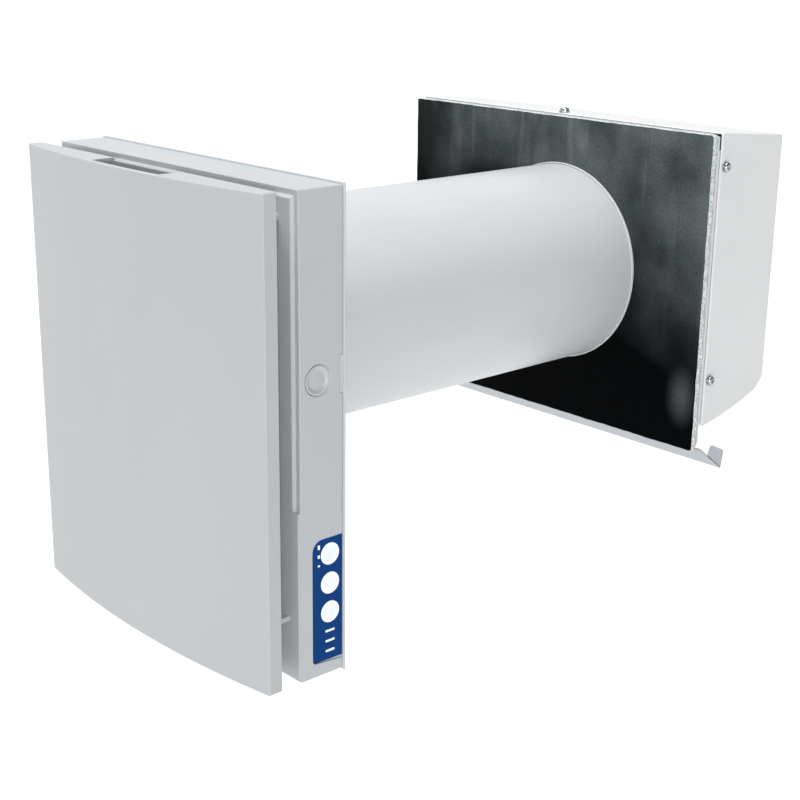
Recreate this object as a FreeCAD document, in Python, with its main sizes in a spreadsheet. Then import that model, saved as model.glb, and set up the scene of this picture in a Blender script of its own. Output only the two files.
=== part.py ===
import FreeCAD, Part
import math
import os
import Sketcher
from FreeCAD import Placement, Rotation, Vector

# Through-the-wall heat recovery unit: indoor unit, wall duct with its cartridge, outdoor hood.
# Origin: duct axis at the indoor wall face. +X right as seen from the room, +Y outdoors, +Z up.

DOC = FreeCAD.newDocument("heat_recovery_unit")

DIMS = {
    # wall duct
    "duct_r": 80.0,
    "duct_wall": 3.0,
    "wall_depth": 345.0,
    "duct_past_wall": 12.0,
    # indoor unit, shared outline
    "unit_w": 269.0,
    "unit_h": 321.0,
    "unit_top": 115.0,
    "unit_wall": 2.6,
    # indoor casing
    "plate_thick": 1.6,
    "plate_over": 1.2,
    "casing_depth": 36.0,
    "rim": 3.9,
    "platform_rise": 2.0,
    "platform_chamfer": 1.5,
    "air_r": 75.0,
    "edge_round": 0.8,
    "hole_inset_x": 24.5,
    "hole_inset_z": 25.5,
    "screw_r": 2.6,
    "cable_x": 112.0,
    "cable_drop": 140.0,
    "cable_r": 9.0,
    "duct_seat": 0.5,
    "frame_screw_in": 82.0,
    # front panel
    "panel_back": 51.8,
    "panel_flange": 10.0,
    "panel_bulge": 11.6,
    "panel_skin": 2.2,
    "notch_w": 78.0,
    "stud_x": 115.0,
    "stud_high": 97.0,
    "stud_r": 3.5,
    "bracket_x": 117.0,
    "bracket_low": 162.5,
    "tongue_thick": 1.2,
    # side controls
    "fascia_w": 25.4,
    "fascia_h": 86.0,
    "fascia_top": 110.0,
    "fascia_thick": 0.8,
    "fascia_round": 8.0,
    "fascia_small_round": 3.0,
    "recess_step": 2.2,
    "press_gap": 0.3,
    "button_r": 7.5,
    "button_pitch": 20.3,
    "button_first": 121.4,
    "button_y": 12.0,
    "lamp_first": 175.4,
    "lamp_pitch": 7.1,
    "lamp_len": 7.8,
    "lamp_high": 1.6,
    "release_r": 9.7,
    "release_y": 21.5,
    "release_drop": 4.0,
    "pod_w": 38.5,
    "pod_top": 91.0,
    # shutter
    "blade_pitch": 29.6,
    "blade_chord": 29.0,
    "blade_len": 147.0,
    "blade_thick": 1.6,
    "pivot_y": 20.0,
    "pivot_r": 1.5,
    "crank": 9.0,
    "crank_angle": 45.0,
    "running": 0.06,
    # cartridge
    "sleeve_r": 75.4,
    "sleeve_wall": 1.4,
    "cartridge_start": 14.0,
    "fan_start": 32.0,
    "regen_start": 102.0,
    "regen_len": 150.0,
    "regen_r": 73.0,
    "cell_pitch": 9.0,
    "cell_wall": 1.2,
    "filter_thick": 10.0,
    "hub_r": 30.0,
    "tip_r": 70.0,
    "shaft_r": 2.0,
    # outdoor hood
    "hood_x": 12.0,
    "hood_w": 322.0,
    "hood_h": 248.0,
    "hood_top": 118.5,
    "hood_depth": 88.0,
    "film_thick": 1.0,
    "foam_thick": 6.0,
    "metal": 1.2,
    "roof_fall": 7.0,
    "cheek_front": 87.0,
    "cheek_rear": 111.0,
    "collar_stand": 1.6,
    "collar_thick": 0.9,
    "drip_out": 28.0,
    "drip_down": 21.0,
    "drip_over": 4.0,
    "hood_hole_x": 280.0,
    "hood_hole_z": 190.0,
    "hood_hole_r": 3.3,
    "cheek_screw_high": 94.0,
    "cheek_screw_low": 73.0,
    "hood_screw_in": 7.0,
}

SHEET = DOC.addObject("Spreadsheet::Sheet", "dims")
for row, (alias, number) in enumerate(DIMS.items(), start=1):
    SHEET.set(f"A{row}", alias.replace("_", " "))
    SHEET.set(f"B{row}", str(number))
    SHEET.setAlias(f"B{row}", alias)
DOC.recompute()


class Size:
    """A length in millimetres, kept with the spreadsheet expression that gives it."""

    def __init__(self, value, text):
        self.value = float(value)
        self.text = text

    def joined(self, other, sign, value):
        return Size(value, f"({self.text} {sign} {size(other).text})")

    def __add__(self, other):
        return self.joined(other, "+", self.value + size(other).value)

    def __sub__(self, other):
        return self.joined(other, "-", self.value - size(other).value)

    def __mul__(self, other):
        return self.joined(other, "*", self.value * size(other).value)

    def __truediv__(self, other):
        return self.joined(other, "/", self.value / size(other).value)

    def __radd__(self, other):
        return size(other) + self

    def __rsub__(self, other):
        return size(other) - self

    def __rmul__(self, other):
        return size(other) * self

    def __neg__(self):
        return Size(-self.value, f"(0 - {self.text})")


def size(x):
    """A plain number or a Size, as a Size."""
    return x if isinstance(x, Size) else Size(x, repr(float(x)))


class Dims:
    """The driving dimensions of the spreadsheet, by alias."""


d = Dims()
for alias, number in DIMS.items():
    setattr(d, alias, Size(number, f"dims.{alias}"))

NODES = []


def bind(obj, prop, length):
    """Binds a property to a length's expression."""
    obj.setExpression(prop, size(length).text)


def place(obj, at, rotation=None):
    """Sets an object's position, bound to the sheet, and its rotation."""
    at = [size(a) for a in at]
    base = Vector(*[a.value for a in at])
    obj.Placement = Placement(base, rotation or Rotation())
    for axis, a in zip("xyz", at):
        bind(obj, f"Placement.Base.{axis}", a)


ALONG = {
    "X": Rotation(Vector(0, 1, 0), 90),
    "Y": Rotation(Vector(1, 0, 0), -90),
    "Z": Rotation(),
}


def box(low, high):
    """A block between two corners."""
    low, high = [size(a) for a in low], [size(a) for a in high]
    obj = DOC.addObject("Part::Box", "block")
    for prop, a, b in zip(("Length", "Width", "Height"), low, high):
        bind(obj, prop, b - a)
    place(obj, low)
    return obj


def turned_block(sides, at, turn):
    """A block of the given length, width and height, turned about its first corner."""
    obj = DOC.addObject("Part::Box", "block")
    for prop, side in zip(("Length", "Width", "Height"), sides):
        bind(obj, prop, side)
    place(obj, at, turn)
    return obj


def rod(radius, start, length, along="Y", tilt=None):
    """A solid cylinder from a point, along one axis."""
    obj = DOC.addObject("Part::Cylinder", "rod")
    bind(obj, "Radius", radius)
    bind(obj, "Height", length)
    place(obj, start, tilt or ALONG[along])
    return obj


def cone(radius, end_radius, start, length, along="Y"):
    """A truncated cone from a point, along one axis."""
    obj = DOC.addObject("Part::Cone", "cone")
    bind(obj, "Radius1", radius)
    bind(obj, "Radius2", end_radius)
    bind(obj, "Height", length)
    place(obj, start, ALONG[along])
    return obj


def fuse(*pieces):
    """The union of several objects."""
    obj = DOC.addObject("Part::MultiFuse", "joined")
    obj.Shapes = list(pieces)
    obj.Refine = True
    return obj


def cut(base, *tools):
    """Takes one or more tools out of a base."""
    obj = DOC.addObject("Part::Cut", "cut")
    obj.Base = base
    obj.Tool = tools[0] if len(tools) == 1 else fuse(*tools)
    obj.Refine = True
    return obj


def common(a, b):
    """What two objects share."""
    obj = DOC.addObject("Part::Common", "shared")
    obj.Base, obj.Tool = a, b
    return obj


def group(*pieces):
    """Separate solids kept as one node."""
    obj = DOC.addObject("Part::Compound", "set")
    obj.Links = list(pieces)
    return obj


def ring(outer, inner, start, length, along="Y"):
    """A tube: a rod less a longer rod."""
    start = [size(a) for a in start]
    i = "XYZ".index(along)
    early = list(start)
    early[i] = start[i] - 1
    return cut(rod(outer, start, length, along), rod(inner, early, size(length) + 2, along))


def node(name, obj):
    """Names a finished sub-part; its label is its node's name."""
    obj.Label = name
    NODES.append(obj)
    return obj


def body(name):
    """An empty PartDesign body."""
    return DOC.addObject("PartDesign::Body", name + "_body")


def sketch(owner, plane, offset=0.0):
    """A sketch on one of the body's origin planes, moved along that plane's normal."""
    obj = owner.newObject("Sketcher::SketchObject", "sketch")
    origin = [f for f in owner.Origin.OriginFeatures if f.Role == plane + "_Plane"][0]
    obj.AttachmentSupport = [(origin, "")]
    obj.MapMode = "FlatFace"
    offset = size(offset)
    obj.AttachmentOffset = Placement(Vector(0, 0, offset.value), Rotation())
    bind(obj, "AttachmentOffset.Base.z", offset)
    return obj


def outline(sk, points, radii=None):
    """A closed outline through points; radii[i] makes side i an arc, negative to bow the other way."""
    radii = radii or {}
    points = [(size(x), size(y)) for x, y in points]
    first = sk.GeometryCount
    count = len(points)
    for i in range(count):
        a = Vector(points[i][0].value, points[i][1].value, 0)
        b_size = points[(i + 1) % count]
        b = Vector(b_size[0].value, b_size[1].value, 0)
        if i in radii:
            radius = size(radii[i])
            middle = (a + b) * 0.5
            half = (b - a).Length / 2
            side = Vector(-(b - a).y, (b - a).x, 0).normalize()
            lift = abs(radius.value) - math.sqrt(radius.value**2 - half**2)
            top = middle + side * math.copysign(lift, radius.value)
            sk.addGeometry(Part.Arc(a, top, b), False)
        else:
            sk.addGeometry(Part.LineSegment(a, b), False)
    for i in range(count):
        # an arc drawn clockwise keeps its ends swapped, so each corner finds the nearer end
        here = Vector(points[i][0].value, points[i][1].value, 0)
        before = first + (i - 1) % count
        now = first + i
        end_before = 1 if (sk.getPoint(before, 1) - here).Length < 1e-6 else 2
        end_now = 1 if (sk.getPoint(now, 1) - here).Length < 1e-6 else 2
        sk.addConstraint(Sketcher.Constraint("Coincident", before, end_before, now, end_now))
        for kind, length in zip(("DistanceX", "DistanceY"), points[i]):
            number = sk.addConstraint(Sketcher.Constraint(kind, -1, 1, now, end_now, length.value))
            sk.setExpression(f"Constraints[{number}]", length.text)
    for i, radius in radii.items():
        radius = size(radius)
        text = radius.text if radius.value > 0 else (-radius).text
        number = sk.addConstraint(Sketcher.Constraint("Radius", first + i, abs(radius.value)))
        sk.setExpression(f"Constraints[{number}]", text)


def rectangle(sk, low, high):
    """A closed rectangle between two corners."""
    outline(sk, [low, (high[0], low[1]), high, (low[0], high[1])])


def circle(sk, centre, radius):
    """A circle with its centre and radius bound."""
    centre, radius = [size(c) for c in centre], size(radius)
    i = sk.addGeometry(
        Part.Circle(Vector(centre[0].value, centre[1].value, 0), Vector(0, 0, 1), radius.value), False
    )
    for kind, length in zip(("DistanceX", "DistanceY"), centre):
        number = sk.addConstraint(Sketcher.Constraint(kind, -1, 1, i, 3, length.value))
        sk.setExpression(f"Constraints[{number}]", length.text)
    number = sk.addConstraint(Sketcher.Constraint("Radius", i, radius.value))
    sk.setExpression(f"Constraints[{number}]", radius.text)


def pad(owner, sk, length, reverse=False, both=False):
    """Adds material from a sketch, along its normal."""
    obj = owner.newObject("PartDesign::Pad", "pad")
    obj.Profile = sk
    bind(obj, "Length", length)
    obj.Reversed = reverse
    obj.Midplane = both
    DOC.recompute()
    return obj


def pocket(owner, sk, length, reverse=False, both=False):
    """Takes material away from a sketch, against its normal; stops the build if it cuts nothing."""
    before = owner.Shape.Volume
    obj = owner.newObject("PartDesign::Pocket", "pocket")
    obj.Profile = sk
    bind(obj, "Length", length)
    obj.Reversed = reverse
    obj.Midplane = both
    DOC.recompute()
    if owner.Shape.Volume > before - 0.01:
        raise RuntimeError(f"{owner.Label}: a pocket cut nothing")
    return obj


def round_edges(owner, radius, keep, kind="Fillet"):
    """Rounds or bevels the edges of a body's tip for which keep(edge) is true."""
    tip = owner.Tip
    names = [f"Edge{i + 1}" for i, e in enumerate(tip.Shape.Edges) if keep(e)]
    obj = owner.newObject("PartDesign::" + kind, kind.lower())
    obj.Base = (tip, names)
    bind(obj, "Radius" if kind == "Fillet" else "Size", radius)
    DOC.recompute()
    return obj


def straight(edge, axis):
    """True if an edge is a straight run along one axis."""
    ends = edge.Vertexes
    if edge.Curve.TypeId != "Part::GeomLine" or len(ends) != 2:
        return False
    run = ends[1].Point - ends[0].Point
    return abs(abs(run["XYZ".index(axis)]) - run.Length) < 1e-6


# Planes and outlines that several pieces share. Y runs outdoors, so the room side is negative.
TOP = d.unit_top
BOTTOM = d.unit_top - d.unit_h
MIDDLE = d.unit_top - d.unit_h / 2
HALF_W = d.unit_w / 2
CASING_BACK = -(d.plate_thick + 0.2)
CASING_FRONT = -d.casing_depth
PLATFORM = -(d.casing_depth + d.platform_rise)
FRONT_INNER = PLATFORM + d.unit_wall
INNER_W = HALF_W - d.unit_wall
DUCT_BORE = d.duct_r - d.duct_wall
BUTTON_Z = [-(d.button_first + d.button_pitch * i) for i in range(3)]
FASCIA_LOW = -(d.fascia_top + d.fascia_h)
FASCIA_FACE = HALF_W - 0.2
LAMP_Z = [-(d.lamp_first + d.lamp_pitch * i) for i in range(3)]
CATCHES = [(d.stud_x, d.stud_high), (-d.stud_x, d.stud_high)]
FRAME_SCREWS = [(d.frame_screw_in * sx, d.frame_screw_in * sz) for sx in (-1, 1) for sz in (-1, 1)]
ACTUATOR_X = d.blade_len / 2 + 12.7
ACTUATOR_SCREWS = [(ACTUATOR_X + 8, z) for z in (-20, 20)]


def mounting_plate():
    """Flat plate screwed to the wall: a spigot and a shallow seat for the duct, a low rim for the casing."""
    b = body("mounting_plate")
    sk = sketch(b, "XZ")
    over = d.plate_over
    rectangle(sk, (-HALF_W - over, BOTTOM - over), (HALF_W + over, TOP + over))
    circle(sk, (0, 0), d.sleeve_r)
    for x in (HALF_W - d.hole_inset_x, -(HALF_W - d.hole_inset_x)):
        for z in (TOP - d.hole_inset_z, BOTTOM + d.hole_inset_z):
            circle(sk, (x, z), d.screw_r)
    circle(sk, (-d.cable_x, -d.cable_drop), d.cable_r)
    pad(b, sk, d.plate_thick)
    round_edges(b, 0.5, lambda e: straight(e, "X") or straight(e, "Z"))
    seat = rod(d.duct_r + 0.5, (0, -d.duct_seat, 0), d.duct_seat + 1)
    spigot = ring(DUCT_BORE - 0.2, d.sleeve_r, (0, -d.plate_thick, 0), d.plate_thick + 10)
    inside_low, inside_high = BOTTOM + d.unit_wall, TOP - d.unit_wall
    rim = cut(
        box((-INNER_W + 0.3, -4.6, inside_low + 0.3), (INNER_W - 0.3, -d.plate_thick, inside_high - 0.3)),
        box((-INNER_W + 1.8, -6, inside_low + 1.8), (INNER_W - 1.8, 0, inside_high - 1.8)),
        box((INNER_W - 3, -6, FASCIA_LOW - 6), (INNER_W, 0, -d.fascia_top + 4)),
    )
    tab = box((INNER_W + 0.2, -3.7, -15), (HALF_W, -d.plate_thick, 9.5))
    return node("mounting_plate", fuse(cut(b, seat), spigot, rim, tab))


def fascia_blank(name, x, thick, back, grow=0.0, step=0.0):
    """A slab with the fascia's outline: two rounds at its room-side corners, a lower edge that may slope."""
    b = body(name)
    sk = sketch(b, "YZ", x)
    front = -(d.fascia_w + 1.2 + grow)
    top = -d.fascia_top + grow
    low = FASCIA_LOW - grow
    big, small = d.fascia_round, d.fascia_small_round
    corners = [
        (back, low - step),
        (front + small, low),
        (front, low + small),
        (front, top - big),
        (front + big, top),
        (back, top),
    ]
    outline(sk, corners, {1: small, 3: big})
    pad(b, sk, thick)
    return b


def indoor_casing():
    """Stepped housing shell with the air opening, the control recess and the release hole."""
    b = body("indoor_casing")
    sk = sketch(b, "XZ", -CASING_BACK)
    rectangle(sk, (-HALF_W, BOTTOM), (HALF_W, TOP))
    pad(b, sk, d.casing_depth + CASING_BACK)
    round_edges(b, d.edge_round, lambda e: straight(e, "Y"))
    sk = sketch(b, "XZ", d.casing_depth)
    rectangle(sk, (-HALF_W + d.rim, BOTTOM + d.rim), (HALF_W - d.rim, TOP - d.rim))
    pad(b, sk, d.platform_rise)
    front = PLATFORM.value
    face_edges = lambda e: all(abs(v.Y - front) < 1e-6 for v in e.Vertexes)
    round_edges(b, d.platform_chamfer, face_edges, "Chamfer")
    sk = sketch(b, "XZ", -CASING_BACK)
    rectangle(sk, (-INNER_W, BOTTOM + d.unit_wall), (INNER_W, TOP - d.unit_wall))
    pocket(b, sk, d.casing_depth + d.platform_rise - d.unit_wall + CASING_BACK, reverse=True)
    sk = sketch(b, "XZ", -PLATFORM)
    circle(sk, (0, 0), d.air_r)
    for x, z in CATCHES:
        circle(sk, (x, z), d.stud_r + 0.8)
    pocket(b, sk, d.unit_wall + 1)
    pod = box((HALF_W - d.pod_w, PLATFORM - 1, BOTTOM + 6), (INNER_W, CASING_FRONT + 2, -d.pod_top))
    rebate_low = (HALF_W - d.pod_w - 3, PLATFORM - 1, BOTTOM + 3)
    pod_rebate = box(rebate_low, (HALF_W + 1, CASING_FRONT + 0.01, -d.pod_top + 3))
    recess = fascia_blank("fascia_recess", HALF_W - 1, 2, 1, grow=0.4, step=d.recess_step)
    holes = [rod(d.button_r + d.press_gap, (INNER_W - 1, -d.button_y, z), 6, "X") for z in BUTTON_Z]
    lamp_y = d.lamp_len / 2 + 0.7
    lamps_low = (INNER_W - 1, -d.button_y - lamp_y, LAMP_Z[-1] - 1.4)
    lamps = box(lamps_low, (HALF_W, -d.button_y + lamp_y, LAMP_Z[0] + 1.4))
    release = rod(d.release_r + d.press_gap, (INNER_W - 1, -d.release_y, -d.release_drop), 6, "X")
    notch = box((INNER_W - 1, -4, -15.3), (HALF_W + 1, 0, 9.8))
    pilots = [rod(1.5, (x, FRONT_INNER - 1.8, z), 3) for x, z in FRAME_SCREWS + ACTUATOR_SCREWS]
    rib = box((INNER_W - 10, -33, -103.8), (INNER_W, -8, -101))
    shell = cut(b, pod, pod_rebate, recess, *holes, lamps, release, notch, *pilots)
    return node("indoor_casing", fuse(shell, rib))


def pod_cover():
    """Lid over the control board, flush with the casing's platform and reaching the side."""
    left = HALF_W - d.pod_w
    top = -d.pod_top
    front = CASING_FRONT
    lid = box((left - 2.8, PLATFORM, BOTTOM + 3.2), (HALF_W, front, top + 2.8))
    lip = cut(
        box((left + 0.3, front, BOTTOM + 6.3), (INNER_W - 0.3, front + 2, top - 0.3)),
        box((left + 1.8, front - 1, BOTTOM + 7.8), (INNER_W - 1.8, front + 3, top - 1.8)),
    )
    return node("pod_cover", fuse(lid, lip))


def air_grille():
    """Round guard in the casing's air opening."""
    outer = d.air_r - 0.2
    rim = ring(outer, outer - 3, (0, PLATFORM + 0.2, 0), 2)
    bars = [box((-76, PLATFORM + 0.4, z - 1), (76, PLATFORM + 2, z + 1)) for z in range(-60, 61, 12)]
    bars += [box((x - 1, PLATFORM + 0.4, -76), (x + 1, PLATFORM + 2, 76)) for x in (-25, 25)]
    disc = rod(outer - 1, (0, PLATFORM - 1, 0), 5)
    return node("air_grille", fuse(rim, common(fuse(*bars), disc)))


def arc_radius(chord, bulge):
    """Radius of an arc from its chord and its rise."""
    return (chord * chord / 4 + bulge * bulge) / (bulge * 2)


def front_panel():
    """Bowed cover plate with side, top and bottom flanges and a finger notch in the top flange."""
    b = body("front_panel")
    corner = -(d.panel_back + d.panel_flange)
    back = -d.panel_back
    outer_r = arc_radius(d.unit_w, d.panel_bulge)
    inner_half = HALF_W - d.panel_skin
    inner_bulge = d.panel_bulge - 0.35
    inner_r = arc_radius(inner_half * 2, inner_bulge)
    sk = sketch(b, "XY", BOTTOM - 0.5)
    outline(sk, [(-HALF_W, back), (-HALF_W, corner), (HALF_W, corner), (HALF_W, back)], {1: -outer_r})
    pad(b, sk, d.unit_h + 1)
    round_edges(b, d.edge_round, lambda e: straight(e, "Z") and e.CenterOfMass.y < back.value - 1)
    inner_corner = corner + d.panel_skin - 0.35
    sk = sketch(b, "XY", BOTTOM - 0.5 + d.panel_skin)
    left, right = -inner_half, inner_half
    hollow = [(left, back + 1), (left, inner_corner), (right, inner_corner), (right, back + 1)]
    outline(sk, hollow, {1: -inner_r})
    pocket(b, sk, d.unit_h + 1 - d.panel_skin * 2, reverse=True)
    half = d.notch_w / 2
    depth = math.sqrt(inner_r.value**2 - half.value**2) - (inner_r.value - inner_bulge.value)
    sk = sketch(b, "XY", TOP - 5)
    edge = inner_corner - depth
    outline(sk, [(-half, back + 1), (-half, edge), (half, edge), (half, back + 1)], {1: -inner_r})
    pocket(b, sk, 10, reverse=True)
    return node("front_panel", b)


def mirrored(low, high, sign):
    """A block given for the right-hand side, or its mirror image in x."""
    if sign > 0:
        return box(low, high)
    return box((-size(high[0]), *low[1:]), (-size(low[0]), *high[1:]))


def panel_studs(panel):
    """Two snap studs and two tongues behind the front panel's skin, trimmed to its curve."""
    studs = []
    towards_room = Rotation(Vector(1, 0, 0), 90)
    for x, z in CATCHES:
        stem = rod(d.stud_r, (x, PLATFORM + 3.5, z), 29, tilt=towards_room)
        foot = rod(d.stud_r + 2.5, (x, PLATFORM - 12, z), 13.8, tilt=towards_room)
        studs.append(cut(fuse(stem, foot), panel))
    for sign in (1, -1):
        x, z = d.bracket_x, -d.bracket_low
        half = d.tongue_thick / 2
        tongue = mirrored((x - 5.5, -62.6, z - half), (x + 5.5, PLATFORM - 3, z + half), sign)
        foot = mirrored((x - 6.5, -62.6, z - 4), (x + 6.5, PLATFORM - 14, z + 4), sign)
        studs.append(cut(fuse(tongue, foot), panel))
    return node("panel_studs", group(*studs))


def panel_foam():
    """Sound-absorbing foam pad behind the panel's bowed skin."""
    b = body("panel_foam")
    radius = arc_radius(d.unit_w, d.panel_bulge)
    half = 92
    rise = math.sqrt(radius.value**2 - half**2) - (radius.value - d.panel_bulge.value)
    edge = -(d.panel_back + d.panel_flange) - rise + d.panel_skin + 0.4
    sk = sketch(b, "XY", BOTTOM + 12)
    outline(sk, [(-half, edge + 5), (-half, edge), (half, edge), (half, edge + 5)], {1: -radius, 3: radius})
    pad(b, sk, d.unit_h - 40)
    return node("panel_foam", b)


def panel_catches():
    """Ferrules in the casing that grip the panel's studs."""
    pieces = []
    for x, z in CATCHES:
        neck = ring(d.stud_r + 0.7, d.stud_r + 0.3, (x, PLATFORM + 0.2, z), d.unit_wall)
        flange = ring(d.stud_r + 3, d.stud_r + 0.3, (x, FRONT_INNER, z), 2)
        pieces.append(fuse(neck, flange))
    return node("panel_catches", group(*pieces))


def panel_brackets():
    """Slotted ledges on the casing that take the front panel's tongues."""
    pieces = []
    for sign in (1, -1):
        x, z = d.bracket_x, -d.bracket_low
        slot_half = d.tongue_thick / 2 + 0.25
        half = slot_half + 0.75
        block = mirrored((x - 8, PLATFORM - 10.5, z - half), (x + 8, PLATFORM, z + half), sign)
        slot = mirrored((x - 6.2, PLATFORM - 12, z - slot_half), (x + 6.2, PLATFORM - 2, z + slot_half), sign)
        pieces.append(cut(block, slot))
    return node("panel_brackets", group(*pieces))


def lamp_block(start, end, z, gap=0.0):
    """A lamp window's block between two planes of x, or its slot where a gap is given."""
    half_y, half_z = d.lamp_len / 2 + gap, d.lamp_high / 2 + gap
    return box((start, -d.button_y - half_y, z - half_z), (end, -d.button_y + half_y, z + half_z))


def control_fascia():
    """Thin fascia in the side recess, with button holes and three lamp slots."""
    plate = fascia_blank("fascia_plate", FASCIA_FACE - d.fascia_thick, d.fascia_thick, CASING_BACK)
    holes = [rod(d.button_r + d.press_gap, (FASCIA_FACE - 3, -d.button_y, z), 6, "X") for z in BUTTON_Z]
    slots = [lamp_block(FASCIA_FACE - 3, FASCIA_FACE + 3, z, 0.1) for z in LAMP_Z]
    return node("control_fascia", cut(plate, *holes, *slots))


def control_buttons():
    """Three push buttons, each a cap with a retaining flange behind the wall."""
    for number, z in enumerate(BUTTON_Z, start=1):
        cap = rod(d.button_r, (INNER_W - 0.6, -d.button_y, z), d.unit_wall + 0.75, "X")
        dish = cone(d.button_r - 2.2, d.button_r - 1.6, (HALF_W - 0.15, -d.button_y, z), 0.31, "X")
        flange = rod(d.button_r + 1, (INNER_W - 1.5, -d.button_y, z), 1.2, "X")
        node(f"control_button_{number}", cut(fuse(cap, flange), dish))


def button_pad():
    """Silicone membrane between the buttons and the switches."""
    sheet = box((INNER_W - 3.6, -23, -172), (INNER_W - 2.4, -3, -112))
    return node("button_pad", sheet)


def lamp_windows():
    """Clear lamp windows in the fascia's slots."""
    pieces = [lamp_block(INNER_W - 0.6, FASCIA_FACE + 0.05, z) for z in LAMP_Z]
    half_y = d.lamp_len / 2
    bar_low = (INNER_W - 1.6, -d.button_y - half_y, LAMP_Z[-1] - 0.9)
    bar = box(bar_low, (INNER_W - 0.6, -d.button_y + half_y, LAMP_Z[0] + 0.9))
    return node("lamp_windows", fuse(bar, *pieces))


def control_board():
    """Upright circuit board behind the side controls."""
    board = box((INNER_W - 7.9, -31, BOTTOM + d.unit_wall), (INNER_W - 6.3, -5.5, -103.8))
    return node("control_board", board)


def control_switches():
    """Tactile switches, lamps and the processor on the control board."""
    face = INNER_W - 6.3
    y = -d.button_y
    pieces = [box((face, y - 3, z - 3), (face + 2.6, y + 3, z + 3)) for z in BUTTON_Z]
    pieces += [box((face, y - 1.5, z - 1.5), (face + 2, y + 1.5, z + 1.5)) for z in LAMP_Z]
    pieces += [box((face - 3.1, -25, -150), (face - 1.6, -13, -138))]
    return node("control_switches", group(*pieces))


def release_button():
    """Dished press button in the casing's side that frees the casing from its plate."""
    centre = (-d.release_y, -d.release_drop)
    cap = rod(d.release_r, (INNER_W - 0.9, *centre), d.unit_wall + 0.9, "X")
    dish = cone(d.release_r - 4, d.release_r - 1.2, (HALF_W - 1.3, *centre), 1.31, "X")
    flange = rod(d.release_r + 1.2, (INNER_W - 1.8, *centre), 1.2, "X")
    arm = box((INNER_W - 3, -d.release_y - 2, -d.release_drop - 3), (INNER_W - 1.8, -8, -d.release_drop + 3))
    return node("release_button", fuse(cut(cap, dish), flange, arm))


def shutter_frame():
    """Square frame with blade bearings, fixed behind the casing's air opening."""
    inner = d.blade_len / 2 + 0.7
    outer = inner + 3
    front = FRONT_INNER + 0.2
    shell = box((-outer, front, -outer), (outer, -5.5, outer))
    bearings = []
    for i in range(-2, 3):
        start = (-outer - 1, -d.pivot_y, d.blade_pitch * i)
        bearings.append(rod(d.pivot_r + d.running, start, outer * 2 + 2, "X"))
    tabs = []
    for x, z in FRAME_SCREWS:
        tab = box((x - 6, front, z - 6), (x + 6, front + 3, z + 6))
        tabs.append(cut(tab, rod(1.5, (x, front - 1, z), 5)))
    inside = box((-inner, front - 1, -inner), (inner, 0, inner))
    return node("shutter_frame", cut(fuse(shell, *tabs), inside, *bearings))


def shutter_blades():
    """Five pivoting blades; each has end pins and a crank at its right end. They rest shut."""
    half = d.blade_len / 2
    wall = half + 0.7 + 3
    reach = d.crank.value
    lift = reach * math.sin(math.radians(d.crank_angle.value))
    out = reach * math.cos(math.radians(d.crank_angle.value))
    for number, i in enumerate(range(-2, 3), start=1):
        z = d.blade_pitch * i
        leaf = box(
            (-half, -d.pivot_y - d.blade_thick / 2, z - d.blade_chord / 2),
            (half, -d.pivot_y + d.blade_thick / 2, z + d.blade_chord / 2),
        )
        spine = rod(2.4, (-half, -d.pivot_y, z), d.blade_len, "X")
        pins = rod(d.pivot_r, (-wall, -d.pivot_y, z), wall * 2 + 1.8, "X")
        face = wall + 0.3
        boss = rod(3.2, (face, -d.pivot_y, z), 1.5, "X")
        tip = rod(2.6, (face, -d.pivot_y - out, z + lift), 1.5, "X")
        turn = Rotation(Vector(1, 0, 0), 180 - d.crank_angle.value)
        offset = turn.multVec(Vector(0, 0, -2))
        arm = turned_block((1.5, d.crank, 4), (face, -d.pivot_y + offset.y, z + offset.z), turn)
        crank_pin = rod(1.3, (face, -d.pivot_y - out, z + lift), 4.2, "X")
        node(f"shutter_blade_{number}", fuse(leaf, spine, pins, boss, tip, arm, crank_pin))


def shutter_tie_bar():
    """Bar that links the five cranks."""
    lift = d.crank.value * math.sin(math.radians(d.crank_angle.value))
    out = d.crank.value * math.cos(math.radians(d.crank_angle.value))
    x = d.blade_len / 2 + 3.7 + 2.1
    y = -d.pivot_y - out
    bar = box((x, y - 3, -d.blade_pitch * 2 + lift - 4), (x + 1.6, y + 3, d.blade_pitch * 2 + lift + 4))
    holes = [rod(1.3 + d.running, (x - 1, y, d.blade_pitch * i + lift), 4, "X") for i in range(-2, 3)]
    return node("shutter_tie_bar", cut(bar, *holes))


def shutter_actuator():
    """Small gear motor that turns the middle blade."""
    x = ACTUATOR_X
    case = box((x, FRONT_INNER, -15), (x + 16, -7, 15))
    ears = box((x + 3, FRONT_INNER, -25), (x + 13, FRONT_INNER + 3, 25))
    socket = rod(d.pivot_r + 0.8, (x - 1, -d.pivot_y, 0), 6, "X")
    holes = [rod(1.5, (x, FRONT_INNER - 1, z), 5) for x, z in ACTUATOR_SCREWS]
    return node("shutter_actuator", cut(fuse(case, ears), socket, *holes))


def actuator_shaft():
    """Output shaft between the gear motor and the middle blade's pivot."""
    start = d.blade_len / 2 + 5.5
    return node("actuator_shaft", rod(d.pivot_r, (start, -d.pivot_y, 0), ACTUATOR_X + 4 - start, "X"))


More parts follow.
